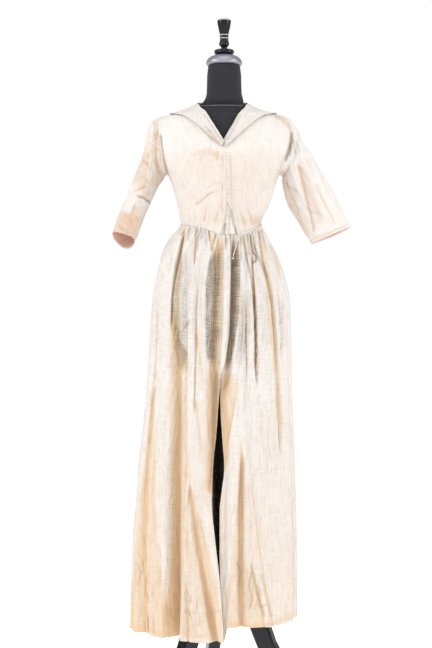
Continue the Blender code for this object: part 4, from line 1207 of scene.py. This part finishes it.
def shell_mesh(name, outside, normal, wall, across, along, tube, shares):
    """A closed shell. across and along are the cloth's own measures in metres, for its weave."""
    rows, columns = outside.shape[:2]
    count = rows * columns
    index = np.arange(count).reshape(rows, columns)
    if tube:
        index = np.concatenate([index, index[:, :1]], axis=1)
    grid = np.stack(np.broadcast_arrays(across, along), axis=-1)
    quads = np.stack(corners_of(index), axis=-1).reshape(-1, 4)
    flat = np.stack(corners_of(grid), axis=-2).reshape(-1, 4, 2)
    faces, uvs = [quads, quads[:, ::-1] + count], [flat, flat[:, ::-1]]
    for (start, end), (start_uv, end_uv) in zip(rims_of(index, tube), rims_of(grid, tube)):
        faces.append(np.stack([end, start, start + count, end + count], axis=-1))
        uvs.append(np.stack([end_uv, start_uv, start_uv, end_uv], axis=1))
    faces, uvs = np.concatenate(faces), np.concatenate(uvs)
    points = np.concatenate([outside.reshape(-1, 3), (outside - wall * normal).reshape(-1, 3)]) + AXIS
    first, last = (points[quads[:, corner]] - points[quads[:, 0]] for corner in (1, 3))
    if np.sum(np.cross(first, last) * normal.reshape(-1, 3)[quads[:, 0]]) < 0:
        faces, uvs = faces[:, ::-1], uvs[:, ::-1]
    doubled = {key: np.tile(value.ravel(), 2) for key, value in shares.items()}
    return quad_mesh(name, points, faces, uvs, doubled)


def lengths_along(points):
    """How far each point lies along the line through them."""
    return np.concatenate([[0], np.cumsum(np.linalg.norm(np.diff(points, axis=0), axis=1))])


def measures(outside, tube):
    """Each grid point's place on the cloth, from one row low down: its threads run true along the columns."""
    row = outside[int(0.75 * (len(outside) - 1))]
    if tube:
        row = np.concatenate([row, row[:1]])
    steps = np.linalg.norm(np.diff(outside, axis=0), axis=2).mean(axis=1)
    return lengths_along(row)[None, :], np.concatenate([[0], np.cumsum(steps)])[:, None]


class Nodes:
    """The nodes of a material or the world. Each method adds a node and gives what it puts out."""

    def __init__(self, owner):
        owner.use_nodes = True
        self.owner, self.tree = owner, owner.node_tree

    def feed(self, node, inputs):
        """Sets inputs to values or to what other nodes put out."""
        for key, value in inputs.items():
            socket = node.inputs[key]
            if isinstance(value, bpy.types.NodeSocket):
                self.tree.links.new(value, socket)
            elif socket.type == "RGBA":
                socket.default_value = (*value, 1.0)
            else:
                socket.default_value = value

    def add(self, kind, inputs=(), output=0, **settings):
        node = self.tree.nodes.new("ShaderNode" + kind)
        for key, value in settings.items():
            setattr(node, key, value)
        self.feed(node, dict(inputs))
        return node.outputs[output]

    def math(self, operation, *values, clamp=False):
        return self.add("Math", enumerate(values), operation=operation, use_clamp=clamp)

    def mix(self, factor, first, second, blend="MIX"):
        return self.add("Mix", {0: factor, 6: first, 7: second}, 2, data_type="RGBA", blend_type=blend)

    def noise(self, place, scales, detail=3.0, roughness=0.55):
        place = self.add("Mapping", {"Vector": place, "Scale": scales})
        inputs = {"Vector": place, "Scale": 1.0, "Detail": detail, "Roughness": roughness}
        return self.add("TexNoise", inputs, "Fac")

    def bump(self, height, strength, distance, **more):
        return self.add("Bump", {"Height": height, "Strength": strength, "Distance": distance, **more})

    def place(self):
        return self.add("TexCoord", output="Object")

    def surface(self, inputs):
        """The finished material, with its surface's values set."""
        self.feed(self.tree.nodes["Principled BSDF"], inputs)
        return self.owner


def finish_nodes(name):
    return Nodes(bpy.data.materials.new(name))


# Colours, in linear light. The tan is mostly painted shade in folds, the crease brown is painted crease
# shade, and the thread tan also darkens painted crinkles.
IVORY = (0.865, 0.828, 0.792)
TAN_AND_SHADE_COLOUR = (0.835, 0.635, 0.42)
THREAD_AND_CRINKLE_SHADE_TAN = (0.74, 0.53, 0.36)
SHADE_GREY = (0.30, 0.235, 0.17)
CREASE_SHADE_BROWN = (0.26, 0.17, 0.10)

STRIPE = 0.0046  # the pitch of the muslin's stripes
BACKLIT = 0.22  # the share of light that comes through the muslin
SHARES = ("warm", "sheer", "dark")  # each point's tan, mostly painted shade, its see-through and its painted crease shade, from 0 to 1


def thread_lines(nodes, place):
    """The threads that stand out, a stripe's pitch apart."""
    wave = nodes.math("SINE", nodes.math("MULTIPLY", place, math.tau / STRIPE))
    return nodes.math("POWER", nodes.math("MULTIPLY_ADD", wave, 0.5, 0.5), 2.0)


def fine_creases(nodes, uv):
    """Winding creases, in patches."""
    winding = nodes.noise(uv, (34, 13, 1), 3, 0.6)
    veins = nodes.math("ABSOLUTE", nodes.math("SUBTRACT", winding, 0.5))
    veins = nodes.math("SUBTRACT", 1.0, nodes.math("MULTIPLY", veins, 26.0), clamp=True)
    patches = nodes.math("MULTIPLY_ADD", nodes.noise(uv, (9, 6, 1), 2), 3.2, -1.2, clamp=True)
    return nodes.math("MULTIPLY", veins, patches)


def muslin(name, ivory=IVORY, deep=TAN_AND_SHADE_COLOUR, weave=1.0):
    """Striped muslin. Each point of a sheet says how tan it is, mostly from painted shade, how sheer it is
    and how much painted crease shade darkens it.
    """
    nodes = finish_nodes(name)
    calc, noise = nodes.math, nodes.noise
    uv = nodes.add("UVMap", uv_map="cloth")
    across, along = (nodes.add("SeparateXYZ", {0: uv}, output) for output in (0, 1))
    warm, sheer, dark = (nodes.add("Attribute", (), "Fac", attribute_name=key) for key in SHARES)
    across = calc("ADD", across, calc("MULTIPLY", noise(uv, (14, 5, 1), 2), 0.004))
    stripes, cross = thread_lines(nodes, across), thread_lines(nodes, along)
    slub, weft = noise(uv, (420, 12, 1), 3, 0.7), noise(uv, (24, 420, 1), 3, 0.7)
    crumpled, veins = noise(uv, (75, 30, 1), 4, 0.6), fine_creases(nodes, uv)

    # Random real stains and each point's tan, which is mostly painted shade, mix in the deep colour.
    stain = calc("SUBTRACT", noise(nodes.place(), (5.5, 5.5, 3.2), 4, 0.6), 0.52)
    colour = nodes.mix(calc("MULTIPLY_ADD", stain, 0.48, warm, clamp=True), ivory, deep)
    # Thread lines, slubs and weft darken the colour, with painted shade along the winding creases and the
    # crumples.
    threads_and_crinkle_shade = calc("MULTIPLY", stripes, 0.16 * weave + 0.06)
    threads_and_crinkle_shade = calc("MULTIPLY_ADD", calc("SUBTRACT", slub, 0.5), 1.7 * weave, threads_and_crinkle_shade)
    threads_and_crinkle_shade = calc("MULTIPLY_ADD", calc("SUBTRACT", weft, 0.5), 1.4 * weave, threads_and_crinkle_shade)
    threads_and_crinkle_shade = calc("MULTIPLY_ADD", veins, 0.09, threads_and_crinkle_shade)
    threads_and_crinkle_shade = calc("MULTIPLY_ADD", calc("SUBTRACT", crumpled, 0.52), 0.5, threads_and_crinkle_shade, clamp=True)
    colour = nodes.mix(threads_and_crinkle_shade, colour, THREAD_AND_CRINKLE_SHADE_TAN, "MULTIPLY")
    threads = calc("MULTIPLY_ADD", calc("ADD", slub, weft), 2.6, -1.6)
    shown = calc("MULTIPLY", sheer, calc("MULTIPLY_ADD", calc("MAXIMUM", stripes, cross), -0.35, threads))
    patchy = calc("MULTIPLY_ADD", noise(uv, (42, 21, 1), 2), 0.8, 0.6)
    colour = nodes.mix(calc("MULTIPLY", shown, patchy, clamp=True), colour, SHADE_GREY)
    # Painted crease shade: the dark share mixes in the shade brown.
    crease_shade = calc("MULTIPLY", dark, calc("MULTIPLY_ADD", slub, 1.0, 0.5), clamp=True)
    colour = nodes.mix(crease_shade, colour, CREASE_SHADE_BROWN)

    height = calc("MULTIPLY_ADD", slub, 0.6, calc("MULTIPLY", weft, 0.5))
    height = calc("MULTIPLY_ADD", stripes, 0.5, height)
    rumple = nodes.bump(calc("MULTIPLY_ADD", veins, -0.16, crumpled), 0.7, 0.012)
    made = nodes.surface({
        "Base Color": colour, "Roughness": 0.86, "Specular IOR Level": 0.25, "Sheen Weight": 0.12,
        "Sheen Roughness": 0.5, "Normal": nodes.bump(height, 0.35, 0.0006, Normal=rumple),
    })
    glow = nodes.add("BsdfTranslucent", {"Color": colour})
    cloth = nodes.tree.nodes["Principled BSDF"].outputs[0]
    mixed = nodes.add("MixShader", {0: BACKLIT, 1: cloth, 2: glow})
    nodes.feed(nodes.tree.nodes["Material Output"], {"Surface": mixed})
    return made


def jersey(name):
    nodes = finish_nodes(name)
    knit = nodes.noise(nodes.place(), (900, 900, 420), 2)
    lint = nodes.noise(nodes.place(), (60, 60, 40), 3)
    colour = nodes.mix(knit, (0.0055, 0.0055, 0.007), (0.0125, 0.012, 0.016))
    colour = nodes.mix(nodes.math("MULTIPLY", lint, 0.3), colour, (0.030, 0.028, 0.035))
    return nodes.surface({
        "Base Color": colour, "Roughness": 0.9, "Sheen Weight": 0.10, "Sheen Roughness": 0.4,
        "Normal": nodes.bump(knit, 0.3, 0.0005),
    })


def thread(name, first, second):
    nodes = finish_nodes(name)
    worn = nodes.noise(nodes.place(), (60, 60, 60), 2)
    return nodes.surface({"Base Color": nodes.mix(worn, first, second), "Roughness": 0.8})


def lacquer(name, rings=()):
    """Black lacquer, with a painted highlight ring at each height and half width."""
    nodes = finish_nodes(name)
    worn = nodes.noise(nodes.place(), (40, 40, 40), 4, 0.6)
    colour = nodes.mix(worn, (0.005, 0.005, 0.007), (0.012, 0.012, 0.015))
    up = nodes.add("SeparateXYZ", {0: nodes.place()}, 2)
    for height, half in rings:
        # Each ring is a painted highlight.
        colour = nodes.mix(nodes.math("COMPARE", up, height, half), colour, (0.50, 0.50, 0.54))
    return nodes.surface({
        "Base Color": colour, "Roughness": nodes.math("MULTIPLY_ADD", worn, 0.22, 0.16),
        "Specular IOR Level": 0.22, "Coat Weight": 0.12, "Coat Roughness": 0.1,
    })


def brushed(name):
    nodes = finish_nodes(name)
    rings = nodes.noise(nodes.place(), (30, 30, 900), 3)
    return nodes.surface({
        "Base Color": nodes.mix(rings, (0.26, 0.25, 0.30), (0.36, 0.35, 0.40)), "Metallic": 0.75,
        "Roughness": nodes.math("MULTIPLY_ADD", rings, 0.2, 0.34),
    })


# Each muslin's second colour is the tan that its painted shade mixes in.
MUSLIN = muslin("striped muslin")
BODICE_MUSLIN = muslin("bodice muslin", (0.868, 0.825, 0.785), (0.78, 0.60, 0.46), 0.5)
CORD = muslin("ivory cord", (0.80, 0.70, 0.55), (0.62, 0.46, 0.30))
LINING = muslin("salmon lining", (0.97, 0.68, 0.57), (0.78, 0.38, 0.27))
JERSEY = jersey("black jersey")
LACQUER = lacquer("black lacquer")
HIGHLIGHT_RINGED_LACQUER = lacquer("painted highlight lacquer", rings=((1.7825, 0.0009), (1.7738, 0.0009), (1.8248, 0.0030)))
SEAM_GREY = thread("neck seam thread", (0.16, 0.16, 0.18), (0.30, 0.30, 0.33))
THREAD = thread("stitching thread", (0.62, 0.50, 0.37), (0.82, 0.73, 0.60))
SILVER = brushed("silver cap")


def make_camera():
    data = bpy.data.cameras.new("camera")
    data.sensor_fit = "VERTICAL"
    data.sensor_height = 36
    data.lens = CAMERA_AWAY * data.sensor_height / (VIEW_TALL * VIEW_STEP)
    camera = add("camera", data)
    camera.location = AXIS + np.array([CAMERA_X, -CAMERA_AWAY, CAMERA_HEIGHT])
    camera.rotation_euler = (math.pi / 2, 0, 0)
    bpy.context.scene.camera = camera


def make_tie(name, rows):
    points = tie_path(rows) + AXIS
    curve = bpy.data.curves.new(name + "_cord", "CURVE")
    curve.dimensions = "3D"
    curve.bevel_depth = TIE_DIAMETER / 2
    curve.bevel_resolution = 4
    curve.use_fill_caps = True
    spline = curve.splines.new("POLY")
    spline.points.add(len(points) - 1)
    for point, place in zip(spline.points, points):
        point.co = (*place, 1.0)
    tie = put(name + "_cord", curve, CORD, "ivory_cord", name)
    knot_at = points[-1] + unit(points[-1] - points[-2]) * (KNOT_RADIUS + SEAM_GAP)
    knot = knot_mesh(name + "_end_knot", knot_at)
    tied = put(name + "_end_knot", knot, CORD, "ivory_cord", name + "_knot")
    float(lengths_along(points)[-1])


KNOT_LOOP = 0.00082 * np.array([1.0, 0.75, 1.25])
KNOT_CORD_RADIUS = 0.00125


def knot_mesh(name, centre):
    """A little overhand knot: a cord wound on itself."""
    t = np.linspace(0, math.tau, 49)[:-1]
    path = np.stack([np.sin(t) + 2 * np.sin(2 * t), np.cos(t) - 2 * np.cos(2 * t), -np.sin(3 * t)], axis=-1)
    return ring_tube(name, path * KNOT_LOOP + centre, KNOT_CORD_RADIUS, 10)


def ring_tube(name, path, radius, sides):
    """A closed tube along a closed path."""
    along = unit(np.roll(path, -1, 0) - np.roll(path, 1, 0))
    side = unit(np.cross(along, [0.3, 0.2, 0.93]))
    other = np.cross(along, side)
    turn = (np.arange(sides) * math.tau / sides)[:, None]
    points = path[:, None] + radius * (np.cos(turn) * side[:, None] + np.sin(turn) * other[:, None])
    index = np.arange(len(path) * sides).reshape(len(path), sides)
    right, down = np.roll(index, -1, 1), np.roll(index, -1, 0)
    quads = np.stack([index, right, np.roll(right, -1, 0), down], axis=-1).reshape(-1, 4)
    return quad_mesh(name, points.reshape(-1, 3), quads)


def grid_of(columns, rows):
    return np.meshgrid(np.linspace(0, 1, columns), np.linspace(0, 1, rows))


FRONTS_MEET = 1.305  # the height over which the right front goes under the left one
FRONT_WIDE = 0.11
PUCKER_REACH = 0.011
PUCKER_PITCH = 0.0135
PUCKER = 0.0008


def make_front(node, side):
    """A bodice front. The right one goes under the left one, and each puckers along a row of stitches."""
    across, level = grid_of(90, 120)
    closed, under = 0.1, 0.0
    from_stitches = FRONT_WIDE * (1 - across if side < 0 else across)
    if side > 0:
        closed = ease((body(*front_panel(0 * level, level, side))[..., 2] - FRONTS_MEET) / 0.03)
        under = -0.0014 * closed * (1 - ease(across / 0.05))
    angle, run = front_panel(across - 0.03 * closed * (1 - across), level, side)
    points = body(angle, run)
    height = points[..., 2]
    near = np.exp(-((from_stitches / PUCKER_REACH) ** 2))
    near = near * ease((height - 1.26) / 0.03) * ease((1.468 - height) / 0.02)
    uneven = 0.55 + 0.45 * np.sin(height * 47 + 1.1) * np.sin(height * 113)
    puckers = near * uneven * np.sin(height * math.tau / PUCKER_PITCH + 3.1 * np.sin(height * 61))
    # Painted shade: the front is tan below the bust, and each pucker's groove is darker.
    cloth_sheet(
        node, points, body_normal(angle, run), (0.22, 0.38), finish=BODICE_MUSLIN,
        extra=under + PUCKER * puckers, tint=0.26 * ease((1.478 - height) / 0.05),
        shade=0.13 * np.maximum(0, -puckers),
        sewn=[("down", 87 if side < 0 else 2), ("down", 84 if side < 0 else 5), ("across", 3)],
    )


def make_bodice():
    make_front("bodice_front_left", -1)
    make_front("bodice_front_right", 1)
    angle, run = back_panel(*grid_of(140, 110))
    cloth_sheet(
        "bodice_back", body(angle, run), body_normal(angle, run), (0.42, 0.40),
        finish=BODICE_MUSLIN, sewn=[("across", 3)],
    )


STITCHED = []  # the lines that are stitched, each with its normals
STITCH_PITCH = 0.0050
STITCH_LENGTH = 0.0028
STITCH_RADIUS = 0.00042


def beads_along(line, normal):
    """A bead of six points for each stitch of a line."""
    shape = np.array([(-1, 0, 0), (0, 1, 0), (0, 0, 1), (0, -1, 0), (0, 0, -1), (1, 0, 0)], float)
    starts = lengths_along(line)
    number = np.arange(int(starts[-1] / STITCH_PITCH))
    steps = (number + 0.5 + 0.16 * np.sin(2.3 * number + len(number))) * STITCH_PITCH

    def at(places, values):
        return np.stack([np.interp(places, starts, values[:, axis]) for axis in range(3)], axis=-1)

    middle, up = at(steps, line), unit(at(steps, normal))
    along = unit(at(steps + 0.001, line) - middle + 1e-9)
    side = unit(np.cross(up, along))
    beads = middle[:, None] + AXIS + up[:, None] * 0.0001
    beads = beads + shape[None, :, :1] * along[:, None] * STITCH_LENGTH / 2
    beads = beads + shape[None, :, 1:2] * side[:, None] * STITCH_RADIUS * 1.3
    return beads + shape[None, :, 2:] * up[:, None] * STITCH_RADIUS


def make_stitches():
    """Every stitch line as small beads of thread lying on the cloth, joined in one mesh."""
    sides = np.array([(0, 2, 1), (0, 3, 2), (0, 4, 3), (0, 1, 4), (5, 1, 2), (5, 2, 3), (5, 3, 4), (5, 4, 1)])
    beads = np.concatenate([beads_along(line, normal) for line, normal in STITCHED])
    faces = (sides + 6 * np.arange(len(beads))[:, None, None]).reshape(-1, 3)
    mesh = bpy.data.meshes.new("stitches")
    mesh.from_pydata(beads.reshape(-1, 3).tolist(), [], faces.tolist())
    mesh.polygons.foreach_set("use_smooth", np.ones(len(faces), bool))
    put("stitches", mesh, THREAD, "ivory_cord")


def ripple_of(node, points, tube, size):
    """Uneven ripples all over a cloth, in metres."""
    across, along = measures(points, tube)
    seed = sum(map(ord, node))
    if tube:
        turn = across[:, :-1] / across.max() * math.tau
        return size * lattice(0.05 * np.sin(turn) + 0.3, along, (0.012, 0.05), seed)
    small = lattice(across, along, (0.009, 0.045), seed + 1)
    return size * (lattice(across, along, (0.03, 0.16), seed) + 0.6 * small)


def shaded(creases, strength, least=0.0):
    """The narrow grooves among some creases, as strokes of painted crease shade."""
    rows = [row._replace(height=-strength * row.height - 0.26) for row in creases]
    return [row for row in rows if row.height > least and row.width < 1.7]


def cloth_sheet(
    node, points, normal, cut, tube=False, reach=(6, 6), deepest=0.003, sheer=None,
    finish=MUSLIN, slot_name="ivory_muslin", wall=FINE_WALL, ripples=0.0003, extra=0.0, tint=0.0,
    creases=None, shade=0.0, sewn=(),
):
    """A node's cloth: its surface with ripples and creases, its looks at each point and its stitches."""
    normal = unit(normal)
    place_of = image_place if tube else back_place
    crease_rows, hidden_rows = (rows.get(creases or node, []) for rows in (CREASES, BEHIND))

    def front(rows, run_out=0.12):
        return stroke_sum(rows, points, normal, run_out)

    def behind(rows, run_out=0.12):
        return stroke_sum(rows, points, normal, run_out, place_of, 1)

    moved_by = ripple_of(node, points, tube, ripples) + 0.001 * front(crease_rows) + extra
    moved = points + normal * (moved_by + 0.001 * behind(hidden_rows))[..., None]
    own = fine_normal(moved, normal, tube)
    # Painted shade: cloth deep in a fold or a fine crease is mixed towards tan, with each sheet's own tint
    # added.
    fine = cavity(moved, normal, (3, 3), 0.0012, tube)
    warm = np.clip(cavity(moved, normal, reach, deepest, tube) + 0.35 * fine + tint, 0, 1)
    shares = {
        "warm": warm + front(TAN_AND_SHADE_STROKES.get(node, [])) + behind(TAN_AND_SHADE_STROKES_BEHIND.get(node, [])),
        "sheer": front(SHOWN_THROUGH.get(node, []), 0.28),
    }
    for key in shares:
        shares[key] = shares[key] + band_sum(BANDS.get(node, []), points, normal, key)
    if sheer is not None:
        shares["sheer"] = np.clip(shares["sheer"] + 0.35 * sheer(moved), 0, 1)
    # Painted crease shade: the grooves of the creases on both faces and the shadow strokes darken the cloth,
    # with each sheet's own shade added.
    shade = shade + behind(shaded(hidden_rows, 0.15, 0.1), 0.09)
    dark = front(shaded(crease_rows, 0.16) + SHADOW_STROKES.get(node, []), 0.09) + shade
    shares["dark"] = np.clip(dark, 0, 0.85)
    for way, index in sewn:
        STITCHED.append((moved[:, index], own[:, index]) if way == "down" else (moved[index], own[index]))
    mesh = shell_mesh(node + "_cloth", moved, own, wall, *measures(moved, tube), tube, shares)
    piece = put(node + "_cloth", mesh, finish, slot_name, node)


def make_collar():
    across, share = grid_of(22, 240)
    cloth_sheet(
        "collar", collar(across, share), -normal_of(collar, across, share, 0.01, 0.004), (0.13, 0.62),
        finish=BODICE_MUSLIN, sewn=[("down", 1), ("down", 20)],
    )


LINING_STARTS = 0.72  # the share down the sleeve where its lining begins
LINING_FINE_WALL = 0.0006


def make_sleeve(name, side):
    """A sleeve, with a seam allowance just behind the bodice's armhole edge, and the lining of its cuff."""
    around = np.arange(130) * 360 / 130
    arm_angle, share = np.meshgrid(around, np.linspace(0, 1, 130))
    points, normal = sleeve(arm_angle, share, side), sleeve_normal(arm_angle, share, side)
    loop, inward, out = armhole_loop(around, side)
    allowance = loop - 0.0026 * inward - 0.0013 * out
    cloth_sheet(
        f"sleeve_{name}", np.concatenate([allowance[None], points]), np.concatenate([normal[:1], normal]),
        (0.33, 0.38), tube=True, finish=BODICE_MUSLIN, sewn=[("across", 3), ("across", 127)],
    )
    arm_angle, share = np.meshgrid(around, np.linspace(LINING_STARTS, 0.995, 30))
    points, normal = sleeve(arm_angle, share, side), sleeve_normal(arm_angle, share, side)
    cloth_sheet(
        f"cuff_lining_{name}", points - normal * (FINE_WALL + LINING_FINE_WALL), normal, (0.27, 0.09),
        tube=True, finish=LINING, slot_name="salmon_lining", wall=LINING_FINE_WALL, creases=f"sleeve_{name}",
    )


def sleeve_normal(arm_angle, share, side):
    def surface(first, second):
        return sleeve(first, np.clip(second, 0, 1), side)

    return -side * normal_of(surface, arm_angle, share, 2.0, 0.01)


def sheerness(points):
    """How much of the form shows through the skirt: most where the cloth hangs near it."""
    x, y, height = np.moveaxis(points, -1, 0)
    form_x, form_y = body_outline(np.degrees(np.arctan2(x, -y)), np.clip(height, FORM_BOTTOM, 1.40))
    gap = np.hypot(x, y) - np.hypot(form_x, form_y) + FORM_INSET
    above = ease((height - FORM_BOTTOM + 0.02) / 0.03)
    return 0.75 * np.exp(-((gap / 0.024) ** 2)) * above * ease((1.215 - height) / 0.07)


TUCKED_ROWS = [-0.0045, -0.002]  # shares above the waist seam
TUCKED_IN = 0.0032
HEM_TALL = 0.016


def skirt_sheet(node, surface, start, end, columns, rows, cut):
    """A skirt panel between the angles of its start and end edges, tucked in at the waist seam."""
    shares = np.concatenate([TUCKED_ROWS, np.linspace(0, 1, rows) ** 1.15])
    first, last = start(shares)[:, None], end(shares)[:, None]
    angle = first + (last - first) * np.linspace(0, 1, columns)
    share = shares[:, None] + 0 * angle
    points = surface(angle, share)
    height = points[..., 2]
    drop = height[:1] - height
    turned = (angle + 180) % 360 - 180
    folded = fold_depth(turned, height) + 0.8 * gather_depth(turned, drop)
    hemmed = 0.3 * ease((drop - drop.max() + HEM_TALL) / 0.003)
    tucked = -TUCKED_IN * (1 - ease((share - TUCKED_ROWS[0]) / -TUCKED_ROWS[0]))
    gathers = seam_gathers(angle, drop)
    # Painted shade deep in the folds, in the small gathers and just under the waist seam; the skirt is also
    # warmer lower down and at its doubled hem.
    cloth_sheet(
        node, points, -normal_of(surface, angle, share, 0.3, 0.001), cut, sheer=sheerness,
        reach=(5, columns // 24), deepest=0.006, ripples=0.0006, extra=SKIRT_LIFT + gathers + tucked,
        tint=0.8 * ease(folded / 0.038) + 0.22 * ease((0.95 - height) / 0.6) + hemmed,
        shade=-260 * gathers + 0.35 * np.exp(-((drop / 0.003) ** 2)),
        sewn=[("across", rows), ("down", 2 if node == "skirt_front_right" else columns - 3)],
    )


def seam_gathers(angle, drop):
    """The small gathers right under the waist seam."""
    radians = np.radians(angle)
    phase = 74 * radians + 1.9 * np.sin(5 * radians + 0.6) + 1.5 * np.sin(11 * radians + 1.7)
    uneven = 0.65 + 0.35 * np.sin(9 * radians + 0.5)
    length = 0.026 + 0.016 * np.sin(23 * radians + 0.8) * np.sin(7 * radians)
    return -0.0018 * uneven * np.exp(-((drop / length) ** 2)) * (0.5 + 0.5 * np.cos(phase)) ** 4


def steady(angle):
    """An edge that stays at one angle."""
    return lambda shares: angle + 0 * shares


def free_edge(side):
    """A skirt front's edge at the opening."""
    return lambda shares: skirt_edge_angle(shares, side)


def make_skirt():
    seam = 0.08
    for node, surface, start, end, columns, rows, cut in (
        ("skirt_front_left", skirt, steady(-SIDE + seam), free_edge(-1), 180, 240, (0.42, 1.08)),
        ("skirt_front_right", right_front, free_edge(1), steady(SIDE - seam), 160, 240, (0.36, 1.05)),
        ("skirt_back_right", skirt, steady(SIDE + seam), steady(180 - seam), 150, 160, (0.42, 1.08)),
        ("skirt_back_left", skirt, steady(180 + seam), steady(270 - seam), 150, 160, (0.44, 1.10)),
    ):
        skirt_sheet(node, surface, start, end, columns, rows, cut)


TAB_BOTTOM = 1.2385
TAB_TOP = 1.318
TAB_LEFT = -0.015  # at the height of 1.300
TAB_WIDE = 0.046
TAB_LEAN = 0.1


def make_tab():
    """The inner strip at the waist opening, behind the fronts."""
    across, height = np.meshgrid(np.linspace(0, 1, 30), np.linspace(TAB_BOTTOM, TAB_TOP, 40))
    run = run_at(height)
    angle = front_angle(TAB_LEFT + TAB_WIDE * across + TAB_LEAN * (1.300 - height), run)
    normal = body_normal(angle, run)
    points = body(angle, run) - normal * (CLOTH_WALL + 2 * SEAM_GAP)
    cloth_sheet("inner_tab", points, normal, (0.047, 0.080), wall=0.0008, tint=0.1)


def ring_at(radius_x, radius_y, angles, height):
    """A level or tilted oval ring of the form's head, round its own middle."""
    return np.stack([HEAD_SHIFT + radius_x * np.sin(angles), -radius_y * np.cos(angles), height], axis=-1)


def spun(name, profile, finish, slot_name):
    """A turned piece, with its table's corners rounded."""
    rows = np.array(profile)
    for _ in range(2):
        cut = [0.75 * rows[:-1] + 0.25 * rows[1:], 0.25 * rows[:-1] + 0.75 * rows[1:]]
        rows = np.concatenate([rows[:1], np.stack(cut, axis=1).reshape(-1, 2), rows[-1:]])
    radius, height = np.maximum(rows[:, :1], 0.00005), rows[:, 1:]
    angles = np.arange(72) * math.tau / 72
    put_rings(name + "_turned", ring_at(radius, radius, angles, height + 0 * angles), finish, slot_name, name)


def put_rings(name, rings, finish, slot_name, node):
    """A closed body through rings, capped at both ends."""
    index = np.arange(rings[..., 0].size).reshape(rings.shape[:2])
    right = np.roll(index, -1, 1)
    faces = np.stack([index[:-1], right[:-1], right[1:], index[1:]], axis=-1).reshape(-1, 4).tolist()
    faces += [index[0, ::-1].tolist(), index[-1].tolist()]
    mesh = bpy.data.meshes.new(name)
    mesh.from_pydata((rings.reshape(-1, 3) + AXIS).tolist(), [], faces)
    shape = bmesh.new()
    shape.from_mesh(mesh)
    bmesh.ops.recalc_face_normals(shape, faces=shape.faces)
    shape.to_mesh(mesh)
    shape.free()
    mesh.polygons.foreach_set("use_smooth", np.ones(len(mesh.polygons), bool))
    put(name, mesh, finish, slot_name, node)


def make_form():
    """The form's torso and neck with finer rings, the neck's seam, its cap and the finial."""
    spun("neck_cap", NECK_CAP, SILVER, "silver_cap")
    spun("finial", FINIAL, HIGHLIGHT_RINGED_LACQUER, "black_lacquer")
    angles = np.arange(96) * 360 / 96
    runs = np.concatenate([np.linspace(FORM_BOTTOM, 1.54, 70), np.linspace(1.547, NECK_RUN, 30)])
    angle, run = np.meshgrid(angles, runs)
    torso = body(angle, run) - body_normal(angle, run) * FORM_INSET
    torso[0, :, 2] = FORM_BOTTOM
    torso[..., 0] = np.clip(torso[..., 0], -FORM_SHOULDER, FORM_SHOULDER)
    put_rings("form_torso_jersey", torso, JERSEY, "black_jersey", "form_torso")
    radians = np.radians(angles)
    radii, heights = np.array(NECK).T
    rings = [torso[-1] + np.array([0, 0, SEAM_GAP])]
    for height in np.linspace(heights[1], heights[-1], 26):
        share = np.interp(height, heights, np.arange(len(NECK)) / (len(NECK) - 1))
        radius = np.interp(height, heights, radii)
        tilted = height - NECK_TILT * (1 - share) ** 2 * np.cos(radians)
        rings.append(ring_at(radius, radius * (1.1 - 0.1 * share), radians, tilted))
    put_rings("form_neck_jersey", np.array(rings), JERSEY, "black_jersey", "form_neck")
    outward = np.stack([np.sin(radians), -np.cos(radians), 0 * radians], axis=-1)
    seam = ring_tube("neck_seam", rings[0] + AXIS + 0.0004 * unit(outward), 0.0007, 6)
    put("neck_seam", seam, SEAM_GREY, "black_jersey")


def make_light(name, place, size, watts, tone):
    """A round light that is aimed at the middle of the gown."""
    data = bpy.data.lights.new(name, "AREA")
    data.shape = "DISK"
    data.size = size
    data.energy = watts
    data.color = tone
    light = add(name, data)
    light.location = place
    x, y, z = np.array([0.0, 0.0, 1.0]) - np.array(place)
    light.rotation_euler = (math.acos(-z / math.hypot(x, y, z)), 0, math.atan2(y, x) - math.pi / 2)


def make_studio():
    """A white world that is brighter to the camera, a pale floor and four soft lights."""
    world = bpy.data.worlds.new("studio")
    bpy.context.scene.world = world
    sky = Nodes(world)
    strength = sky.math("MULTIPLY_ADD", sky.add("LightPath", output="Is Camera Ray"), 0.54, 0.48)
    sky.feed(sky.tree.nodes["Background"], {"Color": (1.0, 1.0, 1.0), "Strength": strength})
    half = 14.0
    mesh = bpy.data.meshes.new("floor")
    corners = [(-half, -half, 0), (half, -half, 0), (half, half, 0), (-half, half, 0)]
    mesh.from_pydata(corners, [], [(0, 1, 2, 3)])
    mesh.materials.append(finish_nodes("pale floor").surface({
        "Base Color": (0.95, 0.95, 0.95), "Roughness": 0.95, "Emission Color": (1.0, 1.0, 1.0),
        "Emission Strength": 0.66,
    }))
    add("floor", mesh)
    make_light("left light", (-3.2, -1.6, 2.7), 1.6, 76, (0.91, 0.96, 1.0))
    make_light("right light", (3.2, -1.6, 2.5), 1.8, 68, (0.91, 0.96, 1.0))
    make_light("front light", (-0.6, -4.2, 3.2), 1.8, 18, (1.0, 0.985, 0.96))
    make_light("top light", (0.0, -1.5, 4.3), 3.0, 40, (1.0, 1.0, 1.0))
    bpy.context.scene.view_settings.view_transform = "Standard"


def main():
    make_camera()
    make_tie("tie_right", RIGHT_TIE)
    make_tie("tie_centre", CENTRE_TIE)
    make_bodice()
    make_collar()
    make_sleeve("left", -1)
    make_sleeve("right", 1)
    make_skirt()
    make_tab()
    make_stitches()
    make_form()
    for node in ("column", "hub", "leg_right", "leg_left", "leg_back"):
        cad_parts[node].data.materials.clear()
        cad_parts[node].data.materials.append(LACQUER)
    make_studio()


main()
